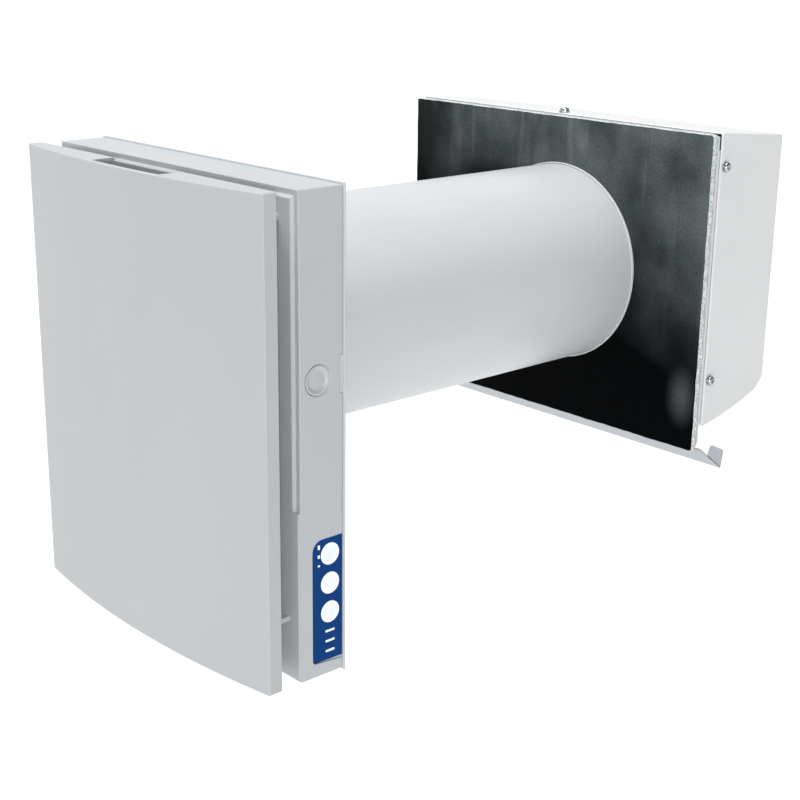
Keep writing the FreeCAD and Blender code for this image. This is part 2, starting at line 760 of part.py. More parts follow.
def power_supply():
    """Power board and what stands on it, in the bay below the air opening."""
    corners = [(x, z) for x in (-91, 81) for z in (-193, -103)]
    board = box((-96, -8, -198), (86, -6.4, -98))
    node("power_board", cut(board, *[rod(1.5, (x, -9, z), 4) for x, z in corners]))
    core = box((-20, -28, -160), (12, -8, -126))
    winding = box((-16, -31, -156), (8, -28, -130))
    node("transformer", fuse(core, winding))
    cans = ((8, 22, 36, -150), (6, 18, 56, -132), (5, 14, 58, -165))
    node("capacitors", group(*[rod(r, (x, -8 - high, z), high) for r, high, x, z in cans]))
    node("relay", box((-60, -24, -128), (-40, -8, -110)))
    block = box((-84, -22, -186), (-54, -8, -168))
    node("terminal_block", cut(block, *[rod(2.2, (x, -23, -177), 10) for x in (-77, -69, -61)]))
    feet = [box((-48, -18, z), (-26, -8, z + 4)) for z in (-184, -170)]
    strap = box((-48, -20, -184), (-26, -18, -166))
    node("cable_clamp", fuse(*feet, strap))
    pegs = [ring(4, 1.5, (x, -6.4, z), 6.4 - d.plate_thick) for x, z in corners]
    node("board_posts", group(*pegs))


def wall_duct():
    """Plastic pipe through the wall; it starts in the mounting plate's seat."""
    b = body("wall_duct")
    sk = sketch(b, "XZ", d.duct_seat)
    circle(sk, (0, 0), d.duct_r)
    circle(sk, (0, 0), DUCT_BORE)
    pad(b, sk, d.duct_seat + d.wall_depth + d.duct_past_wall, reverse=True)
    round_edges(b, 0.6, lambda e: e.Length > 300)
    return node("wall_duct", b)


SLEEVE_BORE = d.sleeve_r - d.sleeve_wall
INSERT_R = SLEEVE_BORE - 0.2


def cartridge_sleeve():
    """Thin sleeve that holds the fan, the filters and the regenerator."""
    length = d.regen_start + d.regen_len + 24 - d.cartridge_start
    return node("cartridge_sleeve", ring(d.sleeve_r, SLEEVE_BORE, (0, d.cartridge_start, 0), length))


def cartridge_seals():
    """Rubber rings between the sleeve and the duct."""
    places = (d.fan_start + 8, d.regen_start + d.regen_len)
    rings = [ring(DUCT_BORE - 0.1, d.sleeve_r + 0.05, (0, y, 0), 6) for y in places]
    return node("cartridge_seals", group(*rings))


def filters():
    """Coarse filter discs at both ends of the cartridge, each behind a grid."""
    inside = d.cartridge_start + 3
    outside = d.regen_start + d.regen_len + 4
    past = d.filter_thick + 0.3
    for side, y, grid_y in (("indoor", inside, inside - 2.5), ("outdoor", outside, outside + past)):
        node(f"{side}_filter", rod(INSERT_R, (0, y, 0), d.filter_thick))
        rim = ring(INSERT_R, INSERT_R - 3, (0, grid_y, 0), 2.2)
        places = [24 * i for i in range(-2, 3)]
        bars = [box((-73, grid_y, z - 0.8), (73, grid_y + 2.2, z + 0.8)) for z in places]
        bars += [box((x - 0.8, grid_y, -73), (x + 0.8, grid_y + 2.2, 73)) for x in places]
        disc = rod(INSERT_R - 1, (0, grid_y - 1, 0), 5)
        node(f"{side}_filter_grid", fuse(rim, common(fuse(*bars), disc)))


def fan_housing():
    """Fan ring with a motor plate on five struts."""
    y = d.fan_start
    rim = ring(INSERT_R, INSERT_R - 2.4, (0, y, 0), 44)
    plate = ring(26, 5.6, (0, y + 39, 0), 3)
    struts = []
    for i in range(5):
        turn = Rotation(Vector(0, 1, 0), 72 * i + 18)
        corner = turn.multVec(Vector(24, 0, -2))
        struts.append(turned_block((49, 5, 4), (corner.x, y + 38, corner.z), turn))
    return node("fan_housing", fuse(rim, plate, *struts))


def fan_motor():
    """Stator with its bearing tube, fixed to the motor plate."""
    y = d.fan_start
    tube = ring(5.5, 4.5, (0, y + 8, 0), 34)
    core = ring(20, 5.5, (0, y + 14, 0), 14)
    slots = []
    for i in range(6):
        turn = Rotation(Vector(0, 1, 0), 60 * i)
        corner = turn.multVec(Vector(12, 0, -1.2))
        slots.append(turned_block((9, 16, 2.4), (corner.x, y + 13, corner.z), turn))
    base = ring(18, 5.5, (0, y + 31, 0), 8)
    spacer = ring(7.5, 5.5, (0, y + 28, 0), 3)
    node("fan_motor", fuse(tube, cut(core, *slots), base, spacer))
    races = [ring(4.45, d.shaft_r + 0.04, (0, start, 0), 4) for start in (y + 10, y + 34)]
    node("fan_bearings", group(*races))


def fan_impeller():
    """Rotor cup with seven pitched blades on its shaft; it turns either way."""
    y = d.fan_start.value
    cup = cut(rod(d.hub_r, (0, d.fan_start + 2, 0), 26), rod(d.hub_r - 3, (0, d.fan_start + 5, 0), 30))
    magnets = ring(d.hub_r - 3, 21, (0, d.fan_start + 12, 0), 15)
    shaft = rod(d.shaft_r, (0, d.fan_start + 2, 0), 38)
    hub = d.hub_r.value
    tip = d.tip_r.value

    def section(radius, chord, pitch, thick=1.8):
        """A blade section: a thin rectangle at a radius, pitched from the plane of rotation."""
        along = Vector(math.cos(math.radians(pitch)), math.sin(math.radians(pitch)), 0)
        across = Vector(-along.y, along.x, 0)
        middle = Vector(0, y + 15, radius)
        signs = ((-1, -1), (1, -1), (1, 1), (-1, 1))
        corners = [middle + along * (chord / 2 * a) + across * (thick / 2 * b) for a, b in signs]
        return Part.makePolygon(corners + corners[:1])

    sections = [section(hub - 1, 28, 52), section((hub + tip) / 2, 33, 40), section(tip, 38, 30)]
    blade = Part.makeLoft(sections, True)
    blades = DOC.addObject("Part::Feature", "impeller_blades")
    turned = []
    for i in range(7):
        one = blade.copy()
        one.rotate(Vector(0, 0, 0), Vector(0, 1, 0), 360 / 7 * i)
        turned.append(one)
    blades.Shape = Part.makeCompound(turned)
    trimmed = common(blades, ring(d.tip_r, d.hub_r - 1, (0, d.fan_start + 1, 0), 34))
    return node("fan_impeller", fuse(cup, magnets, shaft, trimmed))


def flow_straightener():
    """Ring of straight vanes between the fan and the regenerator."""
    y = d.fan_start + 45
    rim = ring(INSERT_R, INSERT_R - 2, (0, y, 0), 20)
    hub = ring(22, 20, (0, y, 0), 20)
    vanes = []
    for i in range(12):
        turn = Rotation(Vector(0, 1, 0), 30 * i)
        corner = turn.multVec(Vector(21, 0, -0.7))
        vanes.append(turned_block((52, 20, 1.4), (corner.x, y, corner.z), turn))
    return node("flow_straightener", fuse(rim, hub, *vanes))


def regenerator():
    """Ceramic honeycomb block: square channels right through a round body."""
    pitch, wall, radius = d.cell_pitch.value, d.cell_wall.value, d.regen_r.value
    half = (pitch - wall) / 2
    reach = int(radius // pitch) + 1
    wires = []
    for i in range(-reach, reach + 1):
        for k in range(-reach, reach + 1):
            x, z = i * pitch, k * pitch
            if math.hypot(abs(x) + half, abs(z) + half) > radius - 1.5:
                continue
            corners = [Vector(x + half * a, 0, z + half * b) for a, b in ((-1, -1), (1, -1), (1, 1), (-1, 1))]
            wires.append(Part.makePolygon(corners + corners[:1]))
    rim = Part.Wire([Part.makeCircle(radius, Vector(0, 0, 0), Vector(0, 1, 0))])
    face = Part.Face([rim] + wires)
    block = DOC.addObject("Part::Feature", "honeycomb")
    block.Shape = face.extrude(Vector(0, d.regen_len.value, 0))
    place(block, (0, d.regen_start, 0))
    return node("regenerator", block)


# The outdoor hood. Its layers follow each other outwards from the outdoor wall face.
WALL = d.wall_depth
FOAM = WALL + d.film_thick
PLATE = FOAM + d.foam_thick
SHELL_BACK = PLATE + d.metal + 1.3
SHELL_FRONT = WALL + d.hood_depth
HOOD_L = -(d.hood_x + d.hood_w / 2)
HOOD_R = d.hood_w / 2 - d.hood_x
HOOD_B = d.hood_top - d.hood_h
HOOD_MID = d.hood_top - d.hood_h / 2
HOLE_X, HOLE_Z = d.hood_hole_x / 2, d.hood_hole_z / 2
HOOD_HOLES = [(-d.hood_x + HOLE_X * sx, HOOD_MID + HOLE_Z * sz) for sx in (-1, 1) for sz in (-1, 1)]
SCREW_Y = PLATE + d.metal + d.hood_screw_in
CHEEK_SCREW_Z = (d.cheek_screw_high, -d.cheek_screw_low)
COLLAR_R = d.duct_r + 0.3 + d.collar_thick


def wall_seal():
    """Black facing film on a light foam sheet, between the hood and the wall."""
    for name, y, thick in (("seal_film", WALL, d.film_thick), ("seal_foam", FOAM, d.foam_thick)):
        b = body(name)
        sk = sketch(b, "XZ", -y)
        rectangle(sk, (HOOD_L, HOOD_B), (HOOD_R, d.hood_top))
        circle(sk, (0, 0), COLLAR_R + 0.4)
        for x, z in HOOD_HOLES:
            circle(sk, (x, z), d.hood_hole_r)
        pad(b, sk, thick, reverse=True)
        node(name, b)


def hood_back_plate():
    """Sheet-metal plate with turned-out flanges, and a sloping drip strip with end tabs below."""
    b = body("hood_back_plate")
    sk = sketch(b, "XZ", -PLATE)
    rectangle(sk, (HOOD_L, HOOD_B), (HOOD_R, d.hood_top))
    circle(sk, (0, 0), COLLAR_R + 0.1)
    for x, z in HOOD_HOLES:
        circle(sk, (x, z), d.hood_hole_r)
    pad(b, sk, d.metal, reverse=True)
    face = PLATE + d.metal
    thick = d.metal
    flanges = [
        box((HOOD_L + 0.3, face, HOOD_B + 20), (HOOD_L + 0.3 + thick, face + 13, d.hood_top - 12)),
        box((HOOD_R - 0.3 - thick, face, HOOD_B + 20), (HOOD_R - 0.3, face + 13, d.hood_top - 12)),
        box((HOOD_L + 12, face, d.hood_top - 1.4 - thick), (HOOD_R - 12, face + 13, d.hood_top - 1.4)),
    ]
    tools = [rod(1.7, (HOOD_L - 5, SCREW_Y, z), d.hood_w + 10, "X") for z in CHEEK_SCREW_Z]
    tools.append(rod(1.7, (-d.hood_x, SCREW_Y, d.hood_top - 6), 12, "Z"))
    strip = body("drip_strip")
    low_y, low_z = face + d.drip_out, HOOD_B - d.drip_down
    sk = sketch(strip, "YZ", HOOD_L - d.drip_over)
    outline(
        sk,
        [
            (PLATE, HOOD_B),
            (PLATE, HOOD_B + 1.6),
            (face, HOOD_B + 1.6),
            (face, HOOD_B + 0.8),
            (low_y, low_z + thick),
            (low_y, low_z),
        ],
    )
    pad(strip, sk, d.hood_w + d.drip_over * 2)
    tabs = []
    for x in (HOOD_L - d.drip_over, HOOD_R + d.drip_over - thick):
        tab = body("drip_tab")
        sk = sketch(tab, "YZ", x)
        outline(
            sk,
            [
                (PLATE + 10.5, HOOD_B - 7),
                (PLATE + 15, HOOD_B + 2),
                (low_y + 2.8, HOOD_B - 6),
                (low_y, low_z),
            ],
        )
        pad(tab, sk, thick)
        round_edges(tab, 2.2, lambda e: straight(e, "X") and e.CenterOfMass.z > HOOD_B.value - 6.5)
        tabs.append(tab)
    return node("hood_back_plate", fuse(cut(fuse(b, *flanges), *tools), strip, *tabs))


def duct_collar():
    """Collar on the back plate that centres the duct."""
    start = WALL - d.collar_stand
    length = d.collar_stand + d.film_thick + d.foam_thick + d.metal + 4
    neck = ring(COLLAR_R, d.duct_r + 0.3, (0, start, 0), length)
    return node("duct_collar", neck)


def hood_shell():
    """Outer cover: front, sloping roof and two cheeks in one folded sheet, open at the back and below."""
    b = body("hood_shell")
    roof = d.hood_top + 1.5
    thick = d.metal
    out_l = HOOD_L - 1.5
    width = d.hood_w + 3
    low_front, low_rear = -d.cheek_front, -d.cheek_rear
    knee = (SHELL_FRONT, low_front + 6)
    hem = (SHELL_FRONT - 5, low_front - 4)
    sk = sketch(b, "YZ", out_l)
    outline(
        sk,
        [(SHELL_BACK, low_rear), (SHELL_BACK, roof), (SHELL_FRONT, roof - d.roof_fall), knee, hem],
        {3: 9, 4: 180},
    )
    pad(b, sk, width)
    back, front = SHELL_BACK.value, SHELL_FRONT.value
    rear_corner = lambda e: straight(e, "X") and abs(e.CenterOfMass.y - back) < 0.1 and e.CenterOfMass.z < 0
    round_edges(b, 2.2, rear_corner)
    front_edge = lambda e: abs(e.CenterOfMass.y - front) < 0.1 and e.Length > 100 and e.CenterOfMass.z > -80
    round_edges(b, 2.0, front_edge)
    sk = sketch(b, "YZ", out_l + thick)
    inner_roof = roof - thick
    outline(
        sk,
        [
            (SHELL_BACK - 5, low_rear - 30),
            (SHELL_BACK - 5, inner_roof + 0.5),
            (SHELL_FRONT - thick, inner_roof - d.roof_fall),
            (SHELL_FRONT - thick, low_front + 6),
            (SHELL_FRONT - 5.6, low_front - 3),
            (SHELL_FRONT - 18, low_front - 7.6),
            (SHELL_FRONT - 18, low_rear - 30),
        ],
        {3: 8},
    )
    pocket(b, sk, width - thick * 2, reverse=True)
    tools = [rod(2.3, (HOOD_L - 5, SCREW_Y, z), d.hood_w + 10, "X") for z in CHEEK_SCREW_Z]
    tools.append(rod(2.3, (-d.hood_x, SCREW_Y, d.hood_top - 6), 12, "Z"))
    return node("hood_shell", cut(b, *tools))


def hood_screws():
    """Pan-head screws with washers: two in each cheek and one in the roof."""
    def screw(start, along, sign):
        """One screw; the head stands on the outside of the sheet."""
        i = "XYZ".index(along)

        def at(offset):
            spot = list(start)
            spot[i] = spot[i] + offset * sign
            return spot

        turn = {
            ("X", 1): Rotation(Vector(0, 1, 0), 90),
            ("X", -1): Rotation(Vector(0, 1, 0), -90),
            ("Z", 1): Rotation(),
        }[along, sign]
        washer = rod(4.6, at(0.02), 0.9, tilt=turn)
        head = rod(3.7, at(0.9), 2.6, tilt=turn)
        shank = rod(1.6, at(-9), 10, tilt=turn)
        socket = rod(1.7, at(2.1), 2, tilt=turn)
        return cut(fuse(washer, head, shank), socket)

    screws = [screw((HOOD_R + 1.5, SCREW_Y, z), "X", 1) for z in CHEEK_SCREW_Z]
    screws += [screw((HOOD_L - 1.5, SCREW_Y, z), "X", -1) for z in CHEEK_SCREW_Z]
    screws.append(screw((-d.hood_x, SCREW_Y, d.hood_top + 1.5), "Z", 1))
    return node("hood_screws", group(*screws))


def frame_screws():
    """Screws that hold the shutter frame and the actuator to the casing's front wall."""
    pieces = []
    for x, z in FRAME_SCREWS + ACTUATOR_SCREWS:
        head = rod(3, (x, FRONT_INNER + 3.25, z), 2)
        shank = rod(1.4, (x, FRONT_INNER - 1.6, z), 5)
        pieces.append(fuse(head, shank))
    return node("frame_screws", group(*pieces))


def build():
    """Makes every sub-part, checks each one and writes its STEP file."""
    mounting_plate()
    indoor_casing()
    pod_cover()
    air_grille()
    panel_studs(front_panel())
    panel_foam()
    panel_catches()
    panel_brackets()
    control_fascia()
    control_buttons()
    button_pad()
    lamp_windows()
    control_board()
    control_switches()
    release_button()
    shutter_frame()
    shutter_blades()
    shutter_tie_bar()
    shutter_actuator()
    actuator_shaft()
    power_supply()
    wall_duct()
    cartridge_sleeve()
    cartridge_seals()
    filters()
    fan_housing()
    fan_motor()
    fan_impeller()
    flow_straightener()
    regenerator()
    wall_seal()
    hood_back_plate()
    duct_collar()
    hood_shell()
    hood_screws()
    frame_screws()
    DOC.recompute()
    failed = [o.Label for o in DOC.Objects if "Invalid" in o.State or "Error" in o.State]
    if failed:
        raise RuntimeError(f"failed objects: {failed}")
    os.makedirs("parts", exist_ok=True)
    for old in os.listdir("parts"):
        os.remove(os.path.join("parts", old))
    for obj in NODES:
        shape = obj.Shape
        if shape.isNull() or not shape.isValid() or not shape.Solids:
            raise RuntimeError(f"{obj.Label} has no valid solid")
        shape.exportStep(f"parts/{obj.Label}.step")
        print(f"{obj.Label}: {len(shape.Solids)} solids, {shape.Volume / 1000:.2f} cm3")


build()
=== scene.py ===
import math
import bpy
import numpy as np
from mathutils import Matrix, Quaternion, Vector


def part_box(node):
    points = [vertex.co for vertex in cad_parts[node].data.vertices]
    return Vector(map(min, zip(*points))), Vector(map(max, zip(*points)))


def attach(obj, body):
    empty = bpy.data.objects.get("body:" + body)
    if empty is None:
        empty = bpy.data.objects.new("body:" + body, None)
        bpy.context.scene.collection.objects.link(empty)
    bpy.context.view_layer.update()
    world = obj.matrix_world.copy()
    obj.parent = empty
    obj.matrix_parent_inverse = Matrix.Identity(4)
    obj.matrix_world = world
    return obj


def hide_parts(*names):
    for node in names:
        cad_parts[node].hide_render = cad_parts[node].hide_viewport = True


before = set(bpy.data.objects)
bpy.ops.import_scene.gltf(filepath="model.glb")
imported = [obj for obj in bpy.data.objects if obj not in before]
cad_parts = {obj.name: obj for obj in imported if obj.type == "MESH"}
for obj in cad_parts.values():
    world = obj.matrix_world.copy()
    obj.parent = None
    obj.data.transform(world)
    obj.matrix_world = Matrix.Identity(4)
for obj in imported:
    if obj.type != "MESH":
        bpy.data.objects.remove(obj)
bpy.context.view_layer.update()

# Heat recovery unit: bowed indoor unit, wall duct with its cartridge, sheet-metal outdoor hood.
# Lengths are millimetres until a mesh is made; +X is right from the room, +Y outdoors, +Z up.

mm = 0.001


# lowest and highest corner of a CAD node, in millimetres
def nodeBox(node):
    low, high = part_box(node)
    return np.array(low) / mm, np.array(high) / mm


casingLow, casingHigh = nodeBox("indoor_casing")
panelLow, panelHigh = nodeBox("front_panel")
podLow, podHigh = nodeBox("pod_cover")
fasciaLow, fasciaHigh = nodeBox("control_fascia")
ductLow, ductHigh = nodeBox("wall_duct")
collarLow, collarHigh = nodeBox("duct_collar")
filmLow, filmHigh = nodeBox("seal_film")
foamLow, foamHigh = nodeBox("seal_foam")
shellLow, shellHigh = nodeBox("hood_shell")
print("frame loaded")


# adds one shader node with its settings, input values and incoming links
def addNode(tree, kind, settings=None, values=None, links=None):
    node = tree.nodes.new("ShaderNode" + kind)
    for key, value in (settings or {}).items():
        setattr(node, key, value)
    for key, value in (values or {}).items():
        node.inputs[key].default_value = value
    for key, source in (links or {}).items():
        tree.links.new(source, node.inputs[key])
    return node


# sRGB hex to linear: c / 12.92 in the toe, ((c + 0.055) / 1.055) to the 2.4 above it
def linearColour(code):
    c = np.array([int(code[i:i + 2], 16) for i in (0, 2, 4)]) / 255
    c = np.where(c < 0.04045, c / 12.92, ((c + 0.055) / 1.055) ** 2.4)
    return (*c, 1.0)


# an empty material with a Principled shader; numbers that are even all over sit on its sockets
def newMaterial(name, colour, **numbers):
    material = bpy.data.materials.new(name)
    material.use_nodes = True
    tree = material.node_tree
    tree.nodes.clear()
    shader = addNode(tree, "BsdfPrincipled", values={"Base Color": linearColour(colour)})
    for key, value in numbers.items():
        shader.inputs[key.replace("_", " ")].default_value = value
    addNode(tree, "OutputMaterial", links={"Surface": shader.outputs["BSDF"]})
    return material, tree, shader


midNoise = (0.3, 0.7)  # nearly all of a noise lies between these
narrowNoise = (0.35, 0.65)


# a noise pattern in object space, its blobs about sizeMm across, so its scale is one over that in metres;
# a stretch of 0.1 along an axis makes them ten times longer there; with a span, what lies between the
# span's two ends is rescaled to run between the fill's two ends
def pattern(tree, sizeMm, detail=2.0, rough=0.5, stretch=(1, 1, 1), span=None, fill=(0, 1)):
    coords = addNode(tree, "TexCoord").outputs["Object"]
    where = addNode(tree, "Mapping", values={"Scale": stretch}, links={"Vector": coords}).outputs["Vector"]
    numbers = {"Scale": 1 / (sizeMm * mm), "Detail": detail, "Roughness": rough}
    blobs = addNode(tree, "TexNoise", values=numbers, links={"Vector": where}).outputs["Fac"]
    if span is None:
        return blobs
    limits = {"From Min": span[0], "From Max": span[1], "To Min": fill[0], "To Max": fill[1]}
    return addNode(tree, "MapRange", values=limits, links={"Value": blobs}).outputs["Result"]


# colours the shader with two colours, mixed by how much of the second there is
def tint(tree, shader, share, first, second):
    blend = addNode(tree, "Mix", {"data_type": "RGBA"}, {6: linearColour(first), 7: linearColour(second)},
                    {0: share})
    tree.links.new(blend.outputs[2], shader.inputs["Base Color"])


# raises the surface by pairs of a height from 0 to 1 and its depth in mm, one bump feeding the next
def bumps(tree, shader, *heights):
    before = {}
    for height, depthMm in heights:
        bump = addNode(tree, "Bump", values={"Distance": depthMm * mm}, links={"Height": height, **before})
        before = {"Normal": bump.outputs["Normal"]}
    tree.links.new(before["Normal"], shader.inputs["Normal"])


# noise patterns: size in mm, detail, roughness, stretch
grain = (0.9, 3.0, 0.6)  # really 0.2 mm; drawn coarser so that it shows
flow = (90, 2.0, 0.5, (1, 1, 0.5))
drawn = (2.6, 4.0, 0.65, (1, 0.015, 1))
cloud = (45, 3.0, 0.5, (1, 0.5, 1))
plating = (0.5, 3.0, 0.6)
turning = (0.8, 3.0, 0.6, (1, 6, 1))
# what a process leaves on a surface: numbers that are even all over; the pattern of its tone, and its span;
# the pattern that dulls it, and how far the roughness falls and rises; then patterns that raise it, in mm
processes = {
    # moulded ABS: a fine spark-eroded grain dulls the gloss, and slow flow marks shift the tone a little
    "mouldedAbs": ({"IOR": 1.54, "Roughness": 0.42}, (flow, midNoise), (grain, 0.05, 0.06),
                   (grain, 0.02), (flow, 0.04)),
    # extruded PVC pipe: semi-gloss, with faint lines along the way it was drawn
    "extrudedPvc": ({"IOR": 1.53, "Roughness": 0.36}, (cloud, midNoise), (drawn, 0.05, 0.06),
                    (drawn, 0.03), (cloud, 0.05)),
    # powder-coated sheet steel: an even colour with a soft orange peel, about 1.5 mm from crest to crest
    "powderCoat": ({"IOR": 1.5, "Roughness": 0.38}, ((55,), narrowNoise), ((0.5, 1.0), 0.04, 0.06),
                   ((1.6, 2.0, 0.45), 0.035)),
    # back-printed polycarbonate film: deep even blue under a fine matt-gloss texture
    "printedFilm": ({"Specular_IOR_Level": 0.04, "Roughness": 0.33}, ((22,), midNoise), ((0.45,), 0.05, 0.05),
                    ((0.45,), 0.01)),
    # smooth hard plastic, as on key caps and lamp lenses: glossy, with the faintest moulding ripple
    "smoothPlastic": ({"IOR": 1.5}, ((8,), narrowNoise), ((3.5,), 0.03, 0.05), ((3.5,), 0.02)),
    # zinc-plated steel: full metal, its shine broken up by a fine even spangle
    "platedSteel": ({"Metallic": 1.0, "Roughness": 0.26}, (plating, midNoise), (plating, 0.08, 0.12),
                    (plating, 0.02)),
    # turned steel: full metal, with fine tool marks round the shaft
    "turnedSteel": ({"Metallic": 1.0, "Roughness": 0.32}, (turning, midNoise), (turning, 0.08, 0.12),
                    (turning, 0.02)),
    # fired cordierite: dry, pale tan, open pores
    "firedCeramic": ({"IOR": 1.5, "Roughness": 0.86}, ((14, 4.0), midNoise), None, ((0.7, 4.0, 0.7), 0.12)),
}


# a material made by one of the processes, in two close tones; numbers overrule the process's own
def surface(name, process, colour, shade, **numbers):
    own, (shape, span), dull, *heights = processes[process]
    numbers = {**own, **numbers}
    material, tree, shader = newMaterial(name, colour, **numbers)
    tint(tree, shader, pattern(tree, *shape, span=span), colour, shade)
    if dull:
        shape, less, more = dull
        fill = (numbers["Roughness"] - less, numbers["Roughness"] + more)
        tree.links.new(pattern(tree, *shape, span=midNoise, fill=fill), shader.inputs["Roughness"])
    bumps(tree, shader, *((pattern(tree, *shape), depth) for shape, depth in heights))
    return material


film = {
    # black is the film's own colour; the grey is painted sheen, standing for light reflected off the film
    "black": "030405", "paintedSheen": "6A7173",
    "tilt": 0.35,  # how much the painted sheen grows to the right, for each unit that it grows upwards
    "paintedSheenStart": -0.03,  # where along that ramp it starts and is full, in metres
    "paintedSheenFull": 0.17,
    "sheenSpotStretch": (1.7, 1, 1),  # a painted sheen spot: its middle once X is stretched, its reach and how much of the sheen grey it paints
    "sheenSpot": (0.2312, 0.3465, -0.087),
    "sheenSpotReach": 0.03,
    "sheenSpotShare": 0.34,
}


# thin black polyethylene film drawn over foam, creased; over its black lies a grey of painted sheen that is
# patchy and speckled, grows towards the upper right and fades downwards; ramp = (z + tilt x) from its start
# to where it is full, sheen = ramp times cloud, and the mix of the two colours is sheen times specks, plus
# sheen times crease lines (painted sheen streaks), plus a painted sheen spot times specks
def creasedFilm(name):
    material, tree, shader = newMaterial(name, film["black"], Specular_IOR_Level=0.015)
    coords = addNode(tree, "TexCoord").outputs["Object"]
    axes = addNode(tree, "SeparateXYZ", links={"Vector": coords}).outputs
    timesPlus = {"operation": "MULTIPLY_ADD"}
    slope = addNode(tree, "Math", timesPlus, {1: film["tilt"]}, {0: axes["X"], 2: axes["Z"]})
    # painted sheen: the grey ramps up towards the upper right and fades downwards
    ramp = addNode(tree, "MapRange", values={"From Min": film["paintedSheenStart"], "From Max": film["paintedSheenFull"]},
                   links={"Value": slope.outputs[0]})
    cloud = pattern(tree, 75, 3.0, stretch=(1, 1, 0.8), span=(0.38, 0.6), fill=(0.25, 1.0))
    specks = pattern(tree, 2.2, 4.0, 0.7, span=(0.38, 0.52), fill=(0.72, 1.0))
    # crease lines: painted sheen streaks, lighter lines standing for light caught along the creases
    lines = pattern(tree, 14, stretch=(1, 1, 0.1), span=(0.56, 0.66), fill=(0.0, 0.3))
    times = {"operation": "MULTIPLY"}
    paintedSheen = addNode(tree, "Math", times, links={0: ramp.outputs["Result"], 1: cloud}).outputs[0]
    spotted = addNode(tree, "Math", times, links={0: paintedSheen, 1: specks}).outputs[0]
    streakedSheen = addNode(tree, "Math", timesPlus, links={0: paintedSheen, 1: lines, 2: spotted}).outputs[0]
    # a painted sheen spot: a round patch of the sheen grey
    narrow = addNode(tree, "Mapping", values={"Scale": film["sheenSpotStretch"]}, links={"Vector": coords})
    reach = addNode(tree, "VectorMath", {"operation": "DISTANCE"}, {1: film["sheenSpot"]},
                    {0: narrow.outputs["Vector"]}).outputs["Value"]
    sheenSpot = addNode(tree, "MapRange", {"interpolation_type": "SMOOTHSTEP"},
                    {"From Min": film["sheenSpotReach"], "From Max": 0.0, "To Max": film["sheenSpotShare"]},
                    {"Value": reach})
    whole = addNode(tree, "Math", timesPlus, links={0: sheenSpot.outputs["Result"], 1: specks, 2: streakedSheen})
    tint(tree, shader, whole.outputs[0], film["black"], film["paintedSheen"])
    grit = (1.1, 3.0, 0.6)
    tree.links.new(pattern(tree, *grit, span=(0.3, 0.75), fill=(0.28, 0.5)), shader.inputs["Roughness"])
    folds = pattern(tree, 9, 3.0, 0.6, (1, 1, 0.16))
    bumps(tree, shader, (folds, 0.25), (pattern(tree, *grit), 0.08))
    return material


# foam: cells as pits of a Voronoi pattern, deeper and rounder in open-cell foam; each pit is drawn darker
# towards its bottom, which is painted shade
def cellFoam(name, colour, shade, cellMm, depthMm):
    material, tree, shader = newMaterial(name, colour, Roughness=0.9, IOR=1.45)
    coords = addNode(tree, "TexCoord").outputs["Object"]
    cells = addNode(tree, "TexVoronoi", values={"Scale": 1 / (cellMm * mm)},
                    links={"Vector": coords}).outputs["Distance"]
    # painted shade: the second, darker colour grows towards each pit's bottom
    pitShade = addNode(tree, "MapRange", values={"From Min": 0.1, "From Max": 0.7, "To Min": 1, "To Max": 0},
                   links={"Value": cells})
    tint(tree, shader, pitShade.outputs["Result"], colour, shade)
    bumps(tree, shader, (cells, depthMm), (pattern(tree, 12, 3.0), 0.5))
    return material


# fibreglass board: green resist over copper tracks, which stand a little proud of it
def circuitBoard(name):
    material, tree, shader = newMaterial(name, "0B5A34", Roughness=0.34, IOR=1.55)
    trackMm = 9
    tracks = addNode(tree, "TexBrick", {"offset": 0.37, "squash": 1.4, "squash_frequency": 3},
                     {"Scale": 1 / (trackMm * mm), "Mortar Size": 0.05, "Brick Width": 1.3,
                      "Row Height": 0.31},
                     {"Vector": addNode(tree, "TexCoord").outputs["Object"]}).outputs["Fac"]
    tint(tree, shader, tracks, "0A4C2C", "1C7A48")
    bumps(tree, shader, (tracks, 0.06), (pattern(tree, 1.2), 0.01))
    return material


# stacked steel laminations: thin bands across Z, with varnish
def lamination(name):
    material, tree, shader = newMaterial(name, "5A5148", Roughness=0.45, Metallic=0.6)
    bandMm = 2.4
    bands = addNode(tree, "TexWave", {"bands_direction": "Z"},
                    {"Scale": 1 / (bandMm * mm) / 6.283, "Distortion": 0.4},  # one wave is 2 pi units long
                    {"Vector": addNode(tree, "TexCoord").outputs["Object"]}).outputs["Fac"]
    tint(tree, shader, bands, "3E3833", "7C6F60")
    bumps(tree, shader, (bands, 0.12))
    return material


